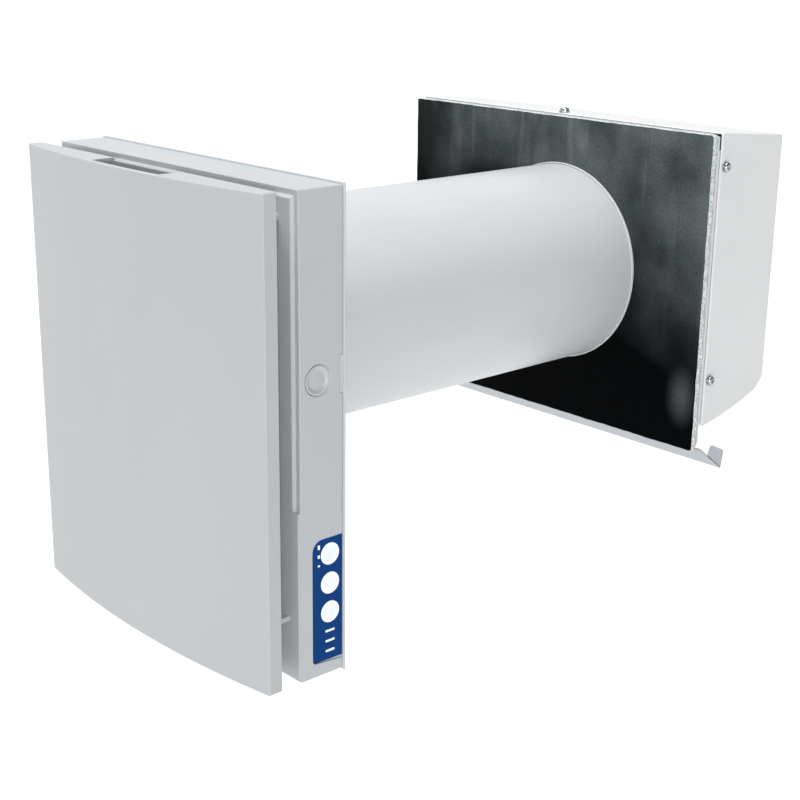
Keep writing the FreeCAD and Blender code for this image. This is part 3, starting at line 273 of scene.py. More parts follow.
finish = {
    "panelAbs": surface("panel_abs_moulded", "mouldedAbs", "AAADAF", "A7AAAC"),
    "casingAbs": surface("casing_abs_moulded", "mouldedAbs", "ACB0B3", "A9ADB0", Roughness=0.44),
    "plateAbs": surface("plate_abs_moulded", "mouldedAbs", "B9BDC0", "B4B8BB", Roughness=0.46),
    "innerAbs": surface("inner_abs_moulded", "mouldedAbs", "50555A", "484C50", Roughness=0.5),
    "grilleAbs": surface("grille_abs_moulded", "mouldedAbs", "A9AEB1", "A5AAAD", Roughness=0.46),
    "bladeAbs": surface("blade_abs_moulded", "mouldedAbs", "C6C9CB", "C2C5C8", Roughness=0.44),
    "ductPvc": surface("duct_pvc_extruded", "extrudedPvc", "B7BABC", "B3B7B9"),
    "hoodPaint": surface("hood_steel_powder_coated", "powderCoat", "C7C9CA", "C5C7C8"),
    # the drip strip has the hood's own powder coat; its darker grey is painted shade, for the shade it lies
    # in below the hood
    "dripShadedPaint": surface("drip_steel_powder_coated_painted_shade", "powderCoat", "9FA5AB", "9BA1A7", Roughness=0.42),
    "film": creasedFilm("seal_film_polyethylene"),
    "sealFoam": cellFoam("seal_foam_closed_cell", "CDD1D2", "8C9294", 1.6, 0.5),
    "soundFoam": cellFoam("sound_foam_open_cell", "A9ADB0", "7C8083", 1.6, 0.8),
    "filterFoam": cellFoam("filter_foam_reticulated", "3C4043", "15171A", 2.2, 1.4),
    "blueFilm": surface("fascia_polycarbonate_printed", "printedFilm", "0A3A76", "09366F"),
    "whiteInk": surface("screen_ink_white", "smoothPlastic", "F6F8FA", "F0F4F6", Roughness=0.4),
    "buttonRim": surface("button_rim_abs", "smoothPlastic", "F9FAFB", "F7F8F9", Roughness=0.28),
    "buttonCentre": surface("button_centre_abs", "smoothPlastic", "E4EBEE", "E0E8EC", Roughness=0.34),
    "lens": surface("lamp_lens_polycarbonate", "smoothPlastic", "E8F0F6", "DCE8F1", Roughness=0.15,
                    Coat_Weight=0.6),
    "silicone": surface("key_mat_silicone", "smoothPlastic", "B9BEC1", "B0B6BA", Roughness=0.55),
    "zinc": surface("screw_steel_zinc_plated", "platedSteel", "C9CDD0", "A4A9AD"),
    "turnedSteel": surface("motor_steel_turned", "turnedSteel", "9A9DA0", "7B7E82"),
    "ceramic": surface("regenerator_cordierite_fired", "firedCeramic", "D3C8B2", "BBAE94"),
    "board": circuitBoard("board_fibreglass_etched"),
    "blackResin": surface("component_resin_moulded", "smoothPlastic", "1B1D1F", "26292B", Roughness=0.42),
    "lamination": lamination("transformer_steel_laminated"),
    "canSleeve": surface("capacitor_sleeve_pvc", "smoothPlastic", "20344F", "1A2B42", Roughness=0.3),
    "greenNylon": surface("terminal_nylon_moulded", "smoothPlastic", "2E8A52", "277947", Roughness=0.38),
    "rubber": surface("seal_rubber_moulded", "smoothPlastic", "17181A", "202224", Roughness=0.6),
}
print("materials made:", len(finish))


leastRadius = 0.03  # mm; a corner's arc never shrinks to less


# a closed 2-D outline: each corner is moved inwards by inset times (n1 + n2) / (1 + n1.n2), the sum of
# its sides' inward normals, then turned by an arc that starts radius / tan(half angle) from it
def roundedOutline(corners, radii, inset=0.0, steps=6):
    c = np.array(corners, float)
    r = np.broadcast_to(np.array(radii, float), (len(c),))
    ahead = np.roll(c, -1, 0) - c
    ahead /= np.linalg.norm(ahead, axis=1)[:, None]
    turn = np.roll(ahead, 1, 0)
    if np.sum(c[:, 0] * np.roll(c[:, 1], -1) - c[:, 1] * np.roll(c[:, 0], -1)) < 0:
        raise ValueError("outline corners run the wrong way round")
    normal = np.stack([-ahead[:, 1], ahead[:, 0]], 1)
    before = np.roll(normal, 1, 0)
    c = c + inset * (before + normal) / (1 + np.sum(before * normal, 1))[:, None]
    outward = np.sign(turn[:, 0] * ahead[:, 1] - turn[:, 1] * ahead[:, 0])
    r = np.maximum(r - inset * outward, leastRadius)
    half = (math.pi - np.arccos(np.clip(np.sum(turn * ahead, 1), -1, 1))) / 2
    reach = r / np.tan(half)
    centre = c + (ahead - turn) / np.linalg.norm(ahead - turn, axis=1)[:, None] * (r / np.sin(half))[:, None]
    start = c - turn * reach[:, None] - centre
    sweep = (math.pi - 2 * half) * outward
    a = np.linspace(0, 1, steps + 1)[None, :] * sweep[:, None]
    x = start[:, :1] * np.cos(a) - start[:, 1:] * np.sin(a)
    y = start[:, :1] * np.sin(a) + start[:, 1:] * np.cos(a)
    return (np.stack([x, y], 2) + centre[:, None, :]).reshape(-1, 2)


# puts 2-D points at a level along an axis: across Y they are (x, z), across X (y, z), across Z (x, y)
def lift(points, axis, level):
    level = np.broadcast_to(level, (len(points),))
    order = {"X": (level, points[:, 0], points[:, 1]), "Y": (points[:, 0], level, points[:, 1]),
             "Z": (points[:, 0], points[:, 1], level)}[axis]
    return np.stack(order, 1)


sharpAngle = 32  # degrees between faces; past this an edge is drawn sharp


# normals weighted by face area keep large flat faces evenly lit beside their rounded rims
def evenNormals(piece):
    piece.modifiers.new("evenNormals", "WEIGHTED_NORMAL").keep_sharp = True


# a closed piece in one of the finishes from rings of points, smooth but for edges past an angle: quads join
# each ring to the next, and the two ends are closed by one face each ("flat"), by strips between mirror
# points ("strips"), or by each other ("torus")
def ringed(name, rings, look, ends="flat", sharp=sharpAngle):
    rings = np.array(rings, float)
    count, n = rings.shape[:2]
    i, j = np.meshgrid(np.arange(count if ends == "torus" else count - 1), np.arange(n), indexing="ij")
    i2, j2 = (i + 1) % count, (j + 1) % n
    quads = np.stack([i * n + j, i * n + j2, i2 * n + j2, i2 * n + j], 2).reshape(-1, 4)
    last = (count - 1) * n
    whole = []
    if ends == "flat":
        whole = [list(range(n - 1, -1, -1)), list(range(last, last + n))]
    if ends == "strips":
        k = np.arange(n // 2 - 1)
        first = np.stack([k + 1, k, n - 1 - k, n - 2 - k], 1)
        quads = np.concatenate([quads, first, last + first[:, ::-1]])
    points = rings.reshape(-1, 3)
    corner = points[quads] - points.mean(0)
    volume = np.sum(np.cross(corner[:, 0], corner[:, 1]) * corner[:, 2])
    volume += np.sum(np.cross(corner[:, 0], corner[:, 2]) * corner[:, 3])
    for face in whole:
        p = points[face] - points.mean(0)
        volume += np.sum(np.cross(np.broadcast_to(p[0], p[1:-1].shape), p[1:-1]) * p[2:])
    if volume < 0:  # faces have to look outwards
        quads = quads[:, ::-1]
        whole = [face[::-1] for face in whole]
    mesh = bpy.data.meshes.new(name)
    mesh.from_pydata((points * mm).tolist(), [], quads.tolist() + whole)
    mesh.shade_smooth()
    mesh.set_sharp_from_angle(angle=math.radians(sharp))
    piece = bpy.data.objects.new(name, mesh)
    bpy.context.scene.collection.objects.link(piece)
    piece.data.materials.append(finish[look] if look else None)
    evenNormals(piece)
    return piece


# ties a piece to its body, and hides the CAD nodes that it stands for
def tie(piece, slotName, *nodes, body="housing"):
    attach(piece, body)
    if nodes:
        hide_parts(*nodes)


# cuts the cutters out of a piece and keeps the plain mesh
def carve(piece, cutters):
    piece.modifiers.clear()
    for cutter in cutters:
        cut = piece.modifiers.new("cut", "BOOLEAN")
        cut.operation = "DIFFERENCE"
        cut.solver = "EXACT"
        cut.object = cutter
    bpy.context.view_layer.update()
    graph = bpy.context.evaluated_depsgraph_get()
    piece.data = bpy.data.meshes.new_from_object(piece.evaluated_get(graph))
    piece.modifiers.clear()
    for cutter in cutters:
        bpy.data.objects.remove(cutter)
    piece.data.shade_smooth()
    piece.data.set_sharp_from_angle(angle=math.radians(sharpAngle))
    evenNormals(piece)


# quarter-round profile steps: (inset, rise) pairs from (edge, 0) to (0, edge)
def quarter(edge, steps=4):
    a = np.linspace(0, math.pi / 2, steps + 1)
    return np.stack([edge * (1 - np.sin(a)), edge * (1 - np.cos(a))], 1)


# the steps of a thickness with a quarter-round at each end: (inset, level) pairs
def bothEnds(edge, low, high):
    near = quarter(edge)
    return [(i, low + h) for i, h in near] + [(i, high - h) for i, h in near[::-1]]


# a slab with rounded rims: its outline is inset by the quarter-round at each end of its thickness
def slab(name, corners, radii, axis, low, high, edge, look, steps=6):
    rings = [lift(roundedOutline(corners, radii, inset, steps), axis, level)
             for inset, level in bothEnds(edge, low, high)]
    return ringed(name, rings, look)


# corners of a rectangle, anticlockwise
def rectangle(low, high):
    return [(low[0], low[1]), (high[0], low[1]), (high[0], high[1]), (low[0], high[1])]


# a solid turned about an axis through centre: each profile point is (radius, distance along the axis)
def turned(name, profile, axis, centre, look, around=96, ends="flat"):
    profile = np.array(profile, float)
    a = np.linspace(0, 2 * math.pi, around, endpoint=False)
    circle = np.stack([np.cos(a), np.sin(a)], 1)
    i = "XYZ".index(axis)
    flat = np.delete(np.array(centre, float), i)
    rings = [lift(circle * r + flat, axis, centre[i] + along) for r, along in profile]
    return ringed(name, rings, look, ends)


# the indoor unit
unit = {
    "panelBack": -51.8, "bulge": 11.5, "cornerY": -61.8, "skin": 2.2, "frontEdge": 0.8,
    "rearEdge": 0.5, "innerFillet": 1.2, "corner": 1.6, "notchHalf": 39,
    "notchStep": 0.25,  # the notch's ends run over twice this
    "notchBack": 1.4,  # the notch's edge lies this far behind the skin
    "samples": 56,
    "samplesFrom": 3,  # how far from the two ends the samples in x start
}


# the bowed face: a circle's arc over the width, y = corner - (sqrt(R^2 - x^2) - (R - bulge))
def bowedY(x, width, cornerY, bulge):
    radius = (width ** 2 / 4 + bulge ** 2) / (2 * bulge)
    return cornerY - (np.sqrt(radius ** 2 - x ** 2) - (radius - bulge))


# places along a face, from a little inside its one end to as much inside the other
def samples(low, high, shape):
    return np.linspace(low + shape["samplesFrom"], high - shape["samplesFrom"], shape["samples"])


# a rectangular ring, mirror-symmetric in z, whose long sides have points at the xs: an arc, the top side
# and an arc, then the same mirrored, backwards, along the bottom
def symmetricRing(low, high, inset, radius, xs):
    x0, x1, z0, z1 = low[0] + inset, high[0] - inset, low[1] + inset, high[1] - inset
    r = max(radius - inset, 0.05)
    a = np.linspace(0, math.pi / 2, 6)
    squeezed = np.interp(xs, [xs[0], xs[-1]], [x0 + r, x1 - r])
    inner = np.where((xs > x0 + r) & (xs < x1 - r), xs, squeezed)[1:-1]
    top = np.concatenate([
        np.stack([x0 + r - r * np.cos(a), z1 - r + r * np.sin(a)], 1),
        np.stack([inner, np.full(len(inner), z1)], 1),
        np.stack([x1 - r + r * np.sin(a), z1 - r + r * np.cos(a)], 1),
    ])
    bottom = top * [1, -1] + [0, z0 + z1]
    return np.concatenate([top, bottom[::-1]])


# the front panel: one section carried round the rectangle, over the bowed face's rim to the flange's rear
# edge, and by the inside back to the skin, which is one thickness behind the face
def makeFrontPanel():
    width = panelHigh[0] - panelLow[0]
    low, high = (panelLow[0], panelLow[2]), (panelHigh[0], panelHigh[2])
    middle = (low[1] + high[1]) / 2
    half, step = unit["notchHalf"], unit["notchStep"]
    xs = samples(low[0], high[0], unit)
    xs = np.sort(np.concatenate([xs, [-half - step, -half + step, half - step, half + step]]))

    def face(ring):
        return bowedY(ring[:, 0], width, unit["cornerY"], unit["bulge"])

    def inner(ring):
        return face(ring) + unit["skin"]

    # the flange's rear edge: the panel's back plane, but the skin itself within the finger notch
    def rear(ring):
        notch = (np.abs(ring[:, 0]) < half) & (ring[:, 1] > middle)
        return np.where(notch, inner(ring) + unit["notchBack"], unit["panelBack"])

    def ring(inset, level):
        outline = symmetricRing(low, high, inset, unit["corner"], xs)
        return lift(outline, "Y", level(outline))

    e, b, f, skin = unit["frontEdge"], unit["rearEdge"], unit["innerFillet"], unit["skin"]
    rings = [ring(i, lambda o, h=h: face(o) + h) for i, h in quarter(e)]
    rings += [ring(i, lambda o, h=h: rear(o) - h) for i, h in quarter(b)[::-1]]
    rings += [ring(skin - i, lambda o, h=h: rear(o) - h) for i, h in quarter(b)]
    rings += [ring(skin + i, lambda o, h=h: inner(o) + h) for i, h in quarter(f)[::-1]]
    piece = ringed("frontPanel", rings, "panelAbs", "strips")
    tie(piece, "casing_plastic", "front_panel", body="panel")


casing = {
    "corner": 1.2, "samples": 40, "samplesFrom": 3, "frontY": -36, "platformY": -38,
    "rim": 3.9, "rimDrop": 0.25, "chamfer": 1.5, "wall": 2.6, "airRadius": 75,
    "airEdge": 0.9, "edge": 0.7,
    "fine": 0.3,  # the small bevels of its rims
    "backGap": 0.02, "catchRadius": 4.3, "buttonHole": 7.54, "releaseHole": 9.85,
    "releaseFlare": 0.8, "podGap": 0.2, "fasciaGap": 0.06, "fasciaStep": 2.6,
    "fasciaDepth": 1,
    "through": 6,  # how far the cutters of the side's holes reach in
    "clear": 3,  # and out
    "lampOpening": ((-16.6, -191), (-7.4, -174)),  # (y, z) corners
    "plugOpening": ((-4, -15.3), (3, 9.8)), "plugDepth": 4,
    "frontCut": (-45, -30),
}
fasciaShape = {"radii": [3.0, 0.05, 0.05, 8], "recessBack": 2}
buttonBoxes = [nodeBox(f"control_button_{number}") for number in (1, 2, 3)]
buttonCentres = [(low + high) / 2 for low, high in buttonBoxes]
catchCentres = [(115, 97), (-115, 97)]
releaseLow, releaseHigh = nodeBox("release_button")
releaseCentre = (-21.5, -4)
plateFront = -1.6  # the mounting plate's room-side face


# a ring round a central hole: every outline point slides along its own ray to the hole's circle
def holeRing(outline, radius, level):
    reach = np.linalg.norm(outline, axis=1)[:, None]
    return lift(outline / reach * radius, "Y", level)


# a cylinder along an axis that a piece is carved with; centre is its place across the axis
def cylinderCutter(axis, centre, radius, low, high, around=64):
    offset = "XYZ".index(axis)
    start = list(centre)
    start.insert(offset, 0)
    return turned("cutter", [(radius, low), (radius, high)], axis, start, None, around)


# a box that a piece is carved with
def boxCutter(low, high):
    corners = rectangle(low[:2], high[:2])
    rings = [lift(np.array(corners, float), "Z", level) for level in (low[2], high[2])]
    return ringed("cutter", rings, None)


# the fascia's outline in (y, z): a large round at its upper room-side corner, a small one below; the
# recess round it has a lower edge that drops by step towards the wall
def fasciaCorners(grow, back, step=0.0):
    y0, z0, z1 = fasciaLow[1] - grow, fasciaLow[2] - grow, fasciaHigh[2] + grow
    return [(y0, z0), (back, z0 - step), (back, z1), (y0, z1)], fasciaShape["radii"]


# the casing: one closed section carried round the rectangle, from the rear rim over the side, the stepped
# front and its air hole back to the inside, then carved for the fascia, buttons, lamps and catches
def makeCasing():
    c = casing
    low, high = (casingLow[0], casingLow[2]), (casingHigh[0], casingHigh[2])
    backY, fine = plateFront - c["backGap"], c["fine"]
    xs = samples(low[0], high[0], c)

    def outline(inset):
        return symmetricRing(low, high, inset, c["corner"], xs)

    def ring(inset, level):
        return lift(outline(inset), "Y", level)

    step, platform, innerY = c["rim"], c["platformY"], c["platformY"] + c["wall"]
    foot = step + c["chamfer"]
    around = outline(foot + 0.3)
    rings = [ring(c["wall"], backY - fine), ring(c["wall"] - fine, backY)]
    rings += [ring(fine, backY), ring(0, backY - fine)]
    rings += [ring(i, c["frontY"] + h) for i, h in quarter(c["edge"])[::-1]]
    rings += [ring(step - fine, c["frontY"]), ring(step, c["frontY"] - c["rimDrop"])]
    rings += [ring(step + 0.05, platform + c["chamfer"])]
    rings += [ring(foot, platform + 0.08), ring(foot + 0.3, platform)]
    rings += [holeRing(around, c["airRadius"] + i, platform + h) for i, h in quarter(c["airEdge"])]
    rings += [holeRing(around, c["airRadius"], innerY)]
    rings += [ring(c["wall"] + 0.6, innerY), ring(c["wall"], innerY + 0.6)]
    piece = ringed("indoorCasing", rings, "casingAbs", "torus")

    side = high[0]
    inside, outside = side - c["through"], side + c["clear"]
    corners, radii = fasciaCorners(c["fasciaGap"], fasciaShape["recessBack"], c["fasciaStep"])
    cutters = [slab("cutter", corners, radii, "X", side - c["fasciaDepth"], outside, 0.02, None)]
    gap = c["podGap"]
    cutters.append(boxCutter((podLow[0] - gap, c["frontCut"][0], podLow[2] - gap),
                             (outside, c["frontY"], podHigh[2] + gap)))
    for centre in buttonCentres:
        cutters.append(cylinderCutter("X", centre[1:], c["buttonHole"], inside, outside))
    r, wide = c["releaseHole"], c["releaseHole"] + c["releaseFlare"]
    flare = [(r, inside), (r, side - 0.75), (wide, side + 0.05), (wide, outside)]
    cutters.append(turned("cutter", flare, "X", (0, *releaseCentre), None, 96))
    for (first, last), depth in ((c["lampOpening"], c["through"]), (c["plugOpening"], c["plugDepth"])):
        cutters.append(boxCutter((side - depth, *first), (outside, *last)))
    for spot in catchCentres:
        cutters.append(cylinderCutter("Y", spot, c["catchRadius"], *c["frontCut"], 40))
    carve(piece, cutters)
    tie(piece, "casing_plastic", "indoor_casing")


pod = {"corner": 0.8, "edge": 0.35}


# the pod cover: a slab that ends just behind the casing's front rim
def makePodCover():
    corners = rectangle((podLow[0], podLow[2]), (podHigh[0], podHigh[2]))
    back = casing["frontY"] - casing["backGap"]
    piece = slab("podCover", corners, pod["corner"], "Y", podLow[1], back, pod["edge"], "casingAbs")
    tie(piece, "casing_plastic", "pod_cover")


lamps = {"levels": (-175.4, -182.5, -189.6), "ends": (-16, -8), "half": 0.95, "round": 0.9, "gap": 0.1}
marks = {
    "y": -21.2, "half": 0.9, "levels": (-115, -121.4, -127.8),
    "halfHeights": (1.5, 1.1, 0.6), "round": 0.25, "thick": 0.06, "sunk": 0.1,
}
fasciaCut = 5.0  # how far its cutters reach in and out


# the blue film: a thin slab with a hole for each button and a slot for each lamp
def makeFascia():
    corners, radii = fasciaCorners(0, fasciaHigh[1])
    face = fasciaHigh[0]
    piece = slab("controlFascia", corners, radii, "X", fasciaLow[0], face, 0.2, "blueFilm", 10)
    low, high = face - fasciaCut, face + fasciaCut
    cutters = [cylinderCutter("X", centre[1:], casing["buttonHole"], low, high) for centre in buttonCentres]
    for z in lamps["levels"]:
        slot = rectangle((lamps["ends"][0], z - lamps["half"]), (lamps["ends"][1], z + lamps["half"]))
        cutters.append(slab("cutter", slot, lamps["round"], "X", low, high, 0.02, None))
    carve(piece, cutters)
    tie(piece, "fascia_blue", "control_fascia")


# three plain printed bars beside the first button, long to short, and a lens in each lamp slot
def makeFasciaMarks():
    face, m = fasciaHigh[0], marks
    for number, (z, half) in enumerate(zip(m["levels"], m["halfHeights"]), 1):
        corners = rectangle((m["y"] - m["half"], z - half), (m["y"] + m["half"], z + half))
        bar = slab(f"speedMark{number}", corners, m["round"], "X", face - m["sunk"], face + m["thick"], 0.03,
                   "whiteInk", 3)
        tie(bar, "button_white")
    lensLow, lensHigh = nodeBox("lamp_windows")
    gap, (first, last) = lamps["gap"], lamps["ends"]
    half = lamps["half"] - gap
    for number, z in enumerate(lamps["levels"], 1):
        corners = rectangle((first + gap, z - half), (last - gap, z + half))
        lens = slab(f"lampLens{number}", corners, lamps["round"] - gap, "X", lensLow[0], lensHigh[0] + 0.1,
                    0.3, "lens", 8)
        tie(lens, "lamp_clear", *(["lamp_windows"] if number == 1 else []))


button = {
    "radius": 7.5, "edge": 0.45, "centre": 5.7, "dish": 0.16, "flange": 8.5,
    "flangeThick": 1.2, "bore": 0.5,
    "middle": 0.02,  # a turned face's last ring is this small, not a point
    "paleFrom": 2,
}


# a push button turned about X: flange, cap with a rounded rim, and a shallow dish of paler plastic, whose
# depth is dish sqrt(1 - t^2) as t runs from 1 at its rim to 0
def makeButtons():
    b = button
    for number, ((low, high), centre) in enumerate(zip(buttonBoxes, buttonCentres), 1):
        depth = high[0] - low[0]
        profile = [(b["bore"], 0), (b["flange"], 0), (b["flange"], b["flangeThick"])]
        profile += [(b["radius"], b["flangeThick"])]
        profile += [(b["radius"] - i, depth - h) for i, h in quarter(b["edge"])[::-1]]
        for t in 1 - np.linspace(0, 1, 9):
            profile.append((b["centre"] * t + b["middle"], depth - b["dish"] * (1 - t ** 2) ** 0.5))
        piece = turned(f"controlButton{number}", profile, "X", (low[0], centre[1], centre[2]),
                       "buttonRim", 72)
        piece.data.materials.append(finish["buttonCentre"])
        middle = np.empty(len(piece.data.polygons) * 3)
        piece.data.polygons.foreach_get("center", middle)
        middle = middle.reshape(-1, 3) / mm
        reach = np.hypot(middle[:, 1] - centre[1], middle[:, 2] - centre[2])
        pale = (reach < b["centre"] - 0.05) & (middle[:, 0] > low[0] + b["paleFrom"])
        piece.data.polygons.foreach_set("material_index", pale.astype(np.int32))
        tie(piece, "button_white", f"control_button_{number}", body=f"button_{number}")


release = {
    "radius": 9.7, "edge": 0.3, "rimWidth": 0.8, "slope": 2.9, "depth": 1.5, "dome": 0.25,
    "flange": 10.9, "armThick": 1.2, "armHalf": 3, "armEnds": (-23.5, -8),
}


# the release button: a flat rim, then a smooth slope (a half cosine) down to a faintly domed floor
def makeReleaseButton():
    r = release
    start = releaseLow[0] + r["armThick"]
    depth = releaseHigh[0] - start
    t = np.linspace(0, 1, 9)
    slopeIn = r["radius"] - r["rimWidth"] - r["slope"] * t
    slopeDown = depth - r["depth"] * (1 - np.cos(math.pi * t)) / 2
    profile = [(button["bore"], 0), (r["flange"], 0), (r["flange"], button["flangeThick"])]
    profile += [(r["radius"], button["flangeThick"])]
    profile += [(r["radius"] - i, depth - h) for i, h in quarter(r["edge"])[::-1]]
    profile += list(zip(slopeIn, slopeDown))
    for u in 1 - t[1:]:
        profile.append((slopeIn[-1] * u + button["middle"], depth - r["depth"] + r["dome"] * (1 - u ** 2)))
    piece = turned("releaseButton", profile, "X", (start, *releaseCentre), "casingAbs", 96)
    tie(piece, "casing_plastic", "release_button", body="release")
    first, last = r["armEnds"]
    corners = rectangle((first, releaseCentre[1] - r["armHalf"]), (last, releaseCentre[1] + r["armHalf"]))
    arm = slab("releaseArm", corners, 1, "X", releaseLow[0], start + 0.1, r["edge"], "casingAbs")
    tie(arm, "casing_plastic", body="release")


soundPad = {"corner": 6, "edge": 1.5, "samples": 30, "samplesFrom": 2}


# the sound pad follows the panel's bow: its two faces are the same arc, one behind the other, and an arc's
# bulge goes with its width squared
def makePanelFoam():
    low, high = nodeBox("panel_foam")
    width, p = high[0] - low[0], soundPad
    bow = unit["bulge"] * (width / (panelHigh[0] - panelLow[0])) ** 2
    xs = samples(low[0], high[0], p)

    def ring(inset, offset):
        outline = symmetricRing((low[0], low[2]), (high[0], high[2]), inset, p["corner"], xs)
        return lift(outline, "Y", bowedY(outline[:, 0], width, low[1] + bow, bow) + offset)

    rings = [ring(i, h) for i, h in bothEnds(p["edge"], 0, high[1] - low[1] - bow)]
    piece = ringed("panelFoam", rings, "soundFoam", "strips")
    tie(piece, "sound_foam", "panel_foam", body="panel")


makeFrontPanel()
makeCasing()
makePodCover()
makeFascia()
makeFasciaMarks()
makeButtons()
makeReleaseButton()
makePanelFoam()
print("indoor unit made")

# the duct and its collar
duct = {"radius": 80, "wall": 3, "edge": 0.6, "samples": 24, "samplesFrom": 2, "around": 160}


# the duct: the pipe's wall with its four edges rounded, turned about Y
def makeDuct():
    outer, inner = duct["radius"], duct["radius"] - duct["wall"]
    start, end = ductLow[1], ductHigh[1]
    edge = quarter(duct["edge"])
    profile = [(inner + i, start + h) for i, h in edge[::-1]] + [(outer - i, start + h) for i, h in edge]
    profile += [(outer, y) for y in samples(start, end, duct)]
    profile += [(outer - i, end - h) for i, h in edge[::-1]] + [(inner + i, end - h) for i, h in edge]
    piece = turned("wallDuct", profile, "Y", (0, 0, 0), "ductPvc", duct["around"], "torus")
    tie(piece, "duct_plastic", "wall_duct")


collar = {"outer": (collarHigh[0] - collarLow[0]) / 2, "inner": 80.3, "edge": 0.3}


# the collar: a thin band with rounded edges, standing just proud of the seal sheet
def makeCollar():
    band = rectangle((collar["inner"], collarLow[1]), (collar["outer"], collarHigh[1]))
    profile = roundedOutline(band, collar["edge"], steps=4)
    piece = turned("ductCollar", profile, "Y", (0, 0, 0), "hoodPaint", duct["around"], "torus")
    tie(piece, "hood_metal", "duct_collar")


makeDuct()
makeCollar()
print("duct made")

# the seal sheet between the hood and the wall
sealSheet = {
    "hole": collar["outer"] + 0.3, "corner": 1.5, "spacing": 2.4, "ragged": 0.7,
    "ringsAcross": 60, "filmInset": 0.5,
    "filmDepth": 0.3,  # its creased face lies about this far behind the CAD face
    "crease": 0.3,
    "rimReach": 180,  # from the middle of the sheet to its rim, about
    "foamInset": 0.2, "foamSpacing": 1.44, "foamGap": 0.03, "foamRound": 0.9,
    "foamSunk": 0.3,
}


# a rectangle's rim sampled every few millimetres, so that it can be bent
def denseRim(low, high, inset, radius, spacing):
    outline = roundedOutline(rectangle(low, high), radius, inset, 4)
    closed = np.vstack([outline, outline[:1]])
    run = np.concatenate([[0], np.cumsum(np.linalg.norm(np.diff(closed, axis=0), axis=1))])
    at = np.linspace(0, run[-1], int(run[-1] / spacing), endpoint=False)
    return np.stack([np.interp(at, run, closed[:, 0]), np.interp(at, run, closed[:, 1])], 1)


# each crease wave: direction in radians, length in mm, share of the height, phase
creaseWaves = ((0.15, 83, 1, 0.4), (1.35, 118, 0.8, 1.9), (-0.35, 47, 0.5, 2.6), (0.9, 61, 0.4, 0.9),
               (0.05, 23, 0.25, 1.3), (-1.1, 31, 0.2, 3))


# soft creases from 0 to 1: a sum of folded sines, (1 - |sin|)^2, along bent directions, so that ridges are
# sharp and valleys wide
def creases(x, z):
    height = np.zeros_like(x)
    for angle, wave, share, phase in creaseWaves:
        bend = 0.6 * np.sin(x / 71 + phase) + 0.5 * np.sin(z / 57 - phase)
        along = (x * math.cos(angle) + z * math.sin(angle)) / wave * math.pi + bend + phase
        height += share * (1 - np.abs(np.sin(along))) ** 2
    return height / sum(share for angle, wave, share, phase in creaseWaves)


# ragged cut edge: a few sines of unrelated lengths round the rim, from -1 to 1
def ragged(x, y, z):
    return (np.sin(x / 5.3 + z / 4.1 + y) + np.sin(x / 2.1 - z / 3.3 + 2 * y) + np.sin(x / 11 + z / 9)) / 3


# the film: a creased face from the rim to the hole and a flat back, with a wavering cut edge
def makeSealFilm():
    s = sealSheet
    rim = denseRim((filmLow[0], filmLow[2]), (filmHigh[0], filmHigh[2]), s["filmInset"], s["corner"],
                   s["spacing"])
    hole = rim / np.linalg.norm(rim, axis=1)[:, None] * s["hole"]
    share = np.linspace(0, 1, s["ringsAcross"])

    def face(t, level, depth):
        p = rim * (1 - t) + hole * t
        calm = min(1, 4 * t + 0.15) * min(1, 6 * (1 - t) + 0.1)  # flat where it is glued, at rim and hole
        return lift(p, "Y", level + depth * calm * (0.6 - creases(p[:, 0], p[:, 1])))

    rings = [face(t, filmLow[1] + s["filmDepth"], s["crease"]) for t in share]
    rings += [face(t, filmHigh[1] - 0.05, 0) for t in share[::-1]]
    waver = ragged(rim[:, 0], 0, rim[:, 1])[:, None]
    pull = 1 + s["ragged"] * 0.5 * waver / s["rimReach"]
    for end in (0, -1):
        rings[end] = rings[end] * np.concatenate([pull, np.ones_like(pull), pull], 1)
    piece = ringed("sealFilm", rings, "film", "torus", 50)
    tie(piece, "film_black", "seal_film")


# closed-cell foam: its cut rim bulges, round(u) = -foamRound (2u - 1)^4 through its thickness, and wavers
def makeSealFoam():
    s = sealSheet
    rim = denseRim((foamLow[0], foamLow[2]), (foamHigh[0], foamHigh[2]), s["foamInset"], s["corner"],
                   s["foamSpacing"])
    outwards = rim / np.linalg.norm(rim, axis=1)[:, None]
    front, back = foamLow[1] + s["foamGap"], foamHigh[1] - s["foamGap"]
    rings = []
    for u in np.linspace(0, 1, 9):
        y = front + (back - front) * u
        swell = -s["foamRound"] * (2 * u - 1) ** 4 + s["ragged"] * ragged(rim[:, 0], y, rim[:, 1])
        rings.append(lift(rim + outwards * (swell - s["foamSunk"])[:, None], "Y", y))
    rings += [lift(outwards * s["hole"], "Y", level) for level in (back, front)]
    piece = ringed("sealFoam", rings, "sealFoam", "torus", 60)
    tie(piece, "foam_light", "seal_foam")


makeSealFilm()
makeSealFoam()
print("seal sheet made")

# the hood
hood = {
    "metal": 1.2, "cheekBend": 1.7, "roofFall": 7,
    "lowBack": -111,  # the cheek's lower edge: its height at the back, at the front, and its bow
    "lowFront": -91, "lowBow": 2.34, "frontLow": -84,
    "hollowBack": 8,  # the opening below, seen from the side
    "hollowLow": -150, "lipBack": 19, "lipLow": -101, "lipBend": 6.5,
    "lipHigh": -93, "seam": 0.35, "seamBack": 1.9, "seamLow": -82, "seamTop": 8,
    "seamDeep": 0.25, "screwHole": 2.3, "screwCut": 6, "screwBehind": 7,
}
backPlate = {
    "back": 352, "corner": 2, "rimSpacing": 8, "gap": 0.02,
    "hole": collar["outer"] + 0.1, "screwHole": 3.3, "screwCut": (340, 360), "screwMiddle": (-12, -5.5),
    "screwReach": (140, 95), "flange": 13, "flangeCorner": 3, "flangeEdge": 0.3,
    "flangeSink": 0.2, "sideInset": 0.3, "sideLow": 20, "sideHigh": 12, "topInset": 1.4,
}
drip = {"out": 28, "down": 21, "over": 4, "edge": 0.15, "root": 1.6, "tabEdge": 0.35}
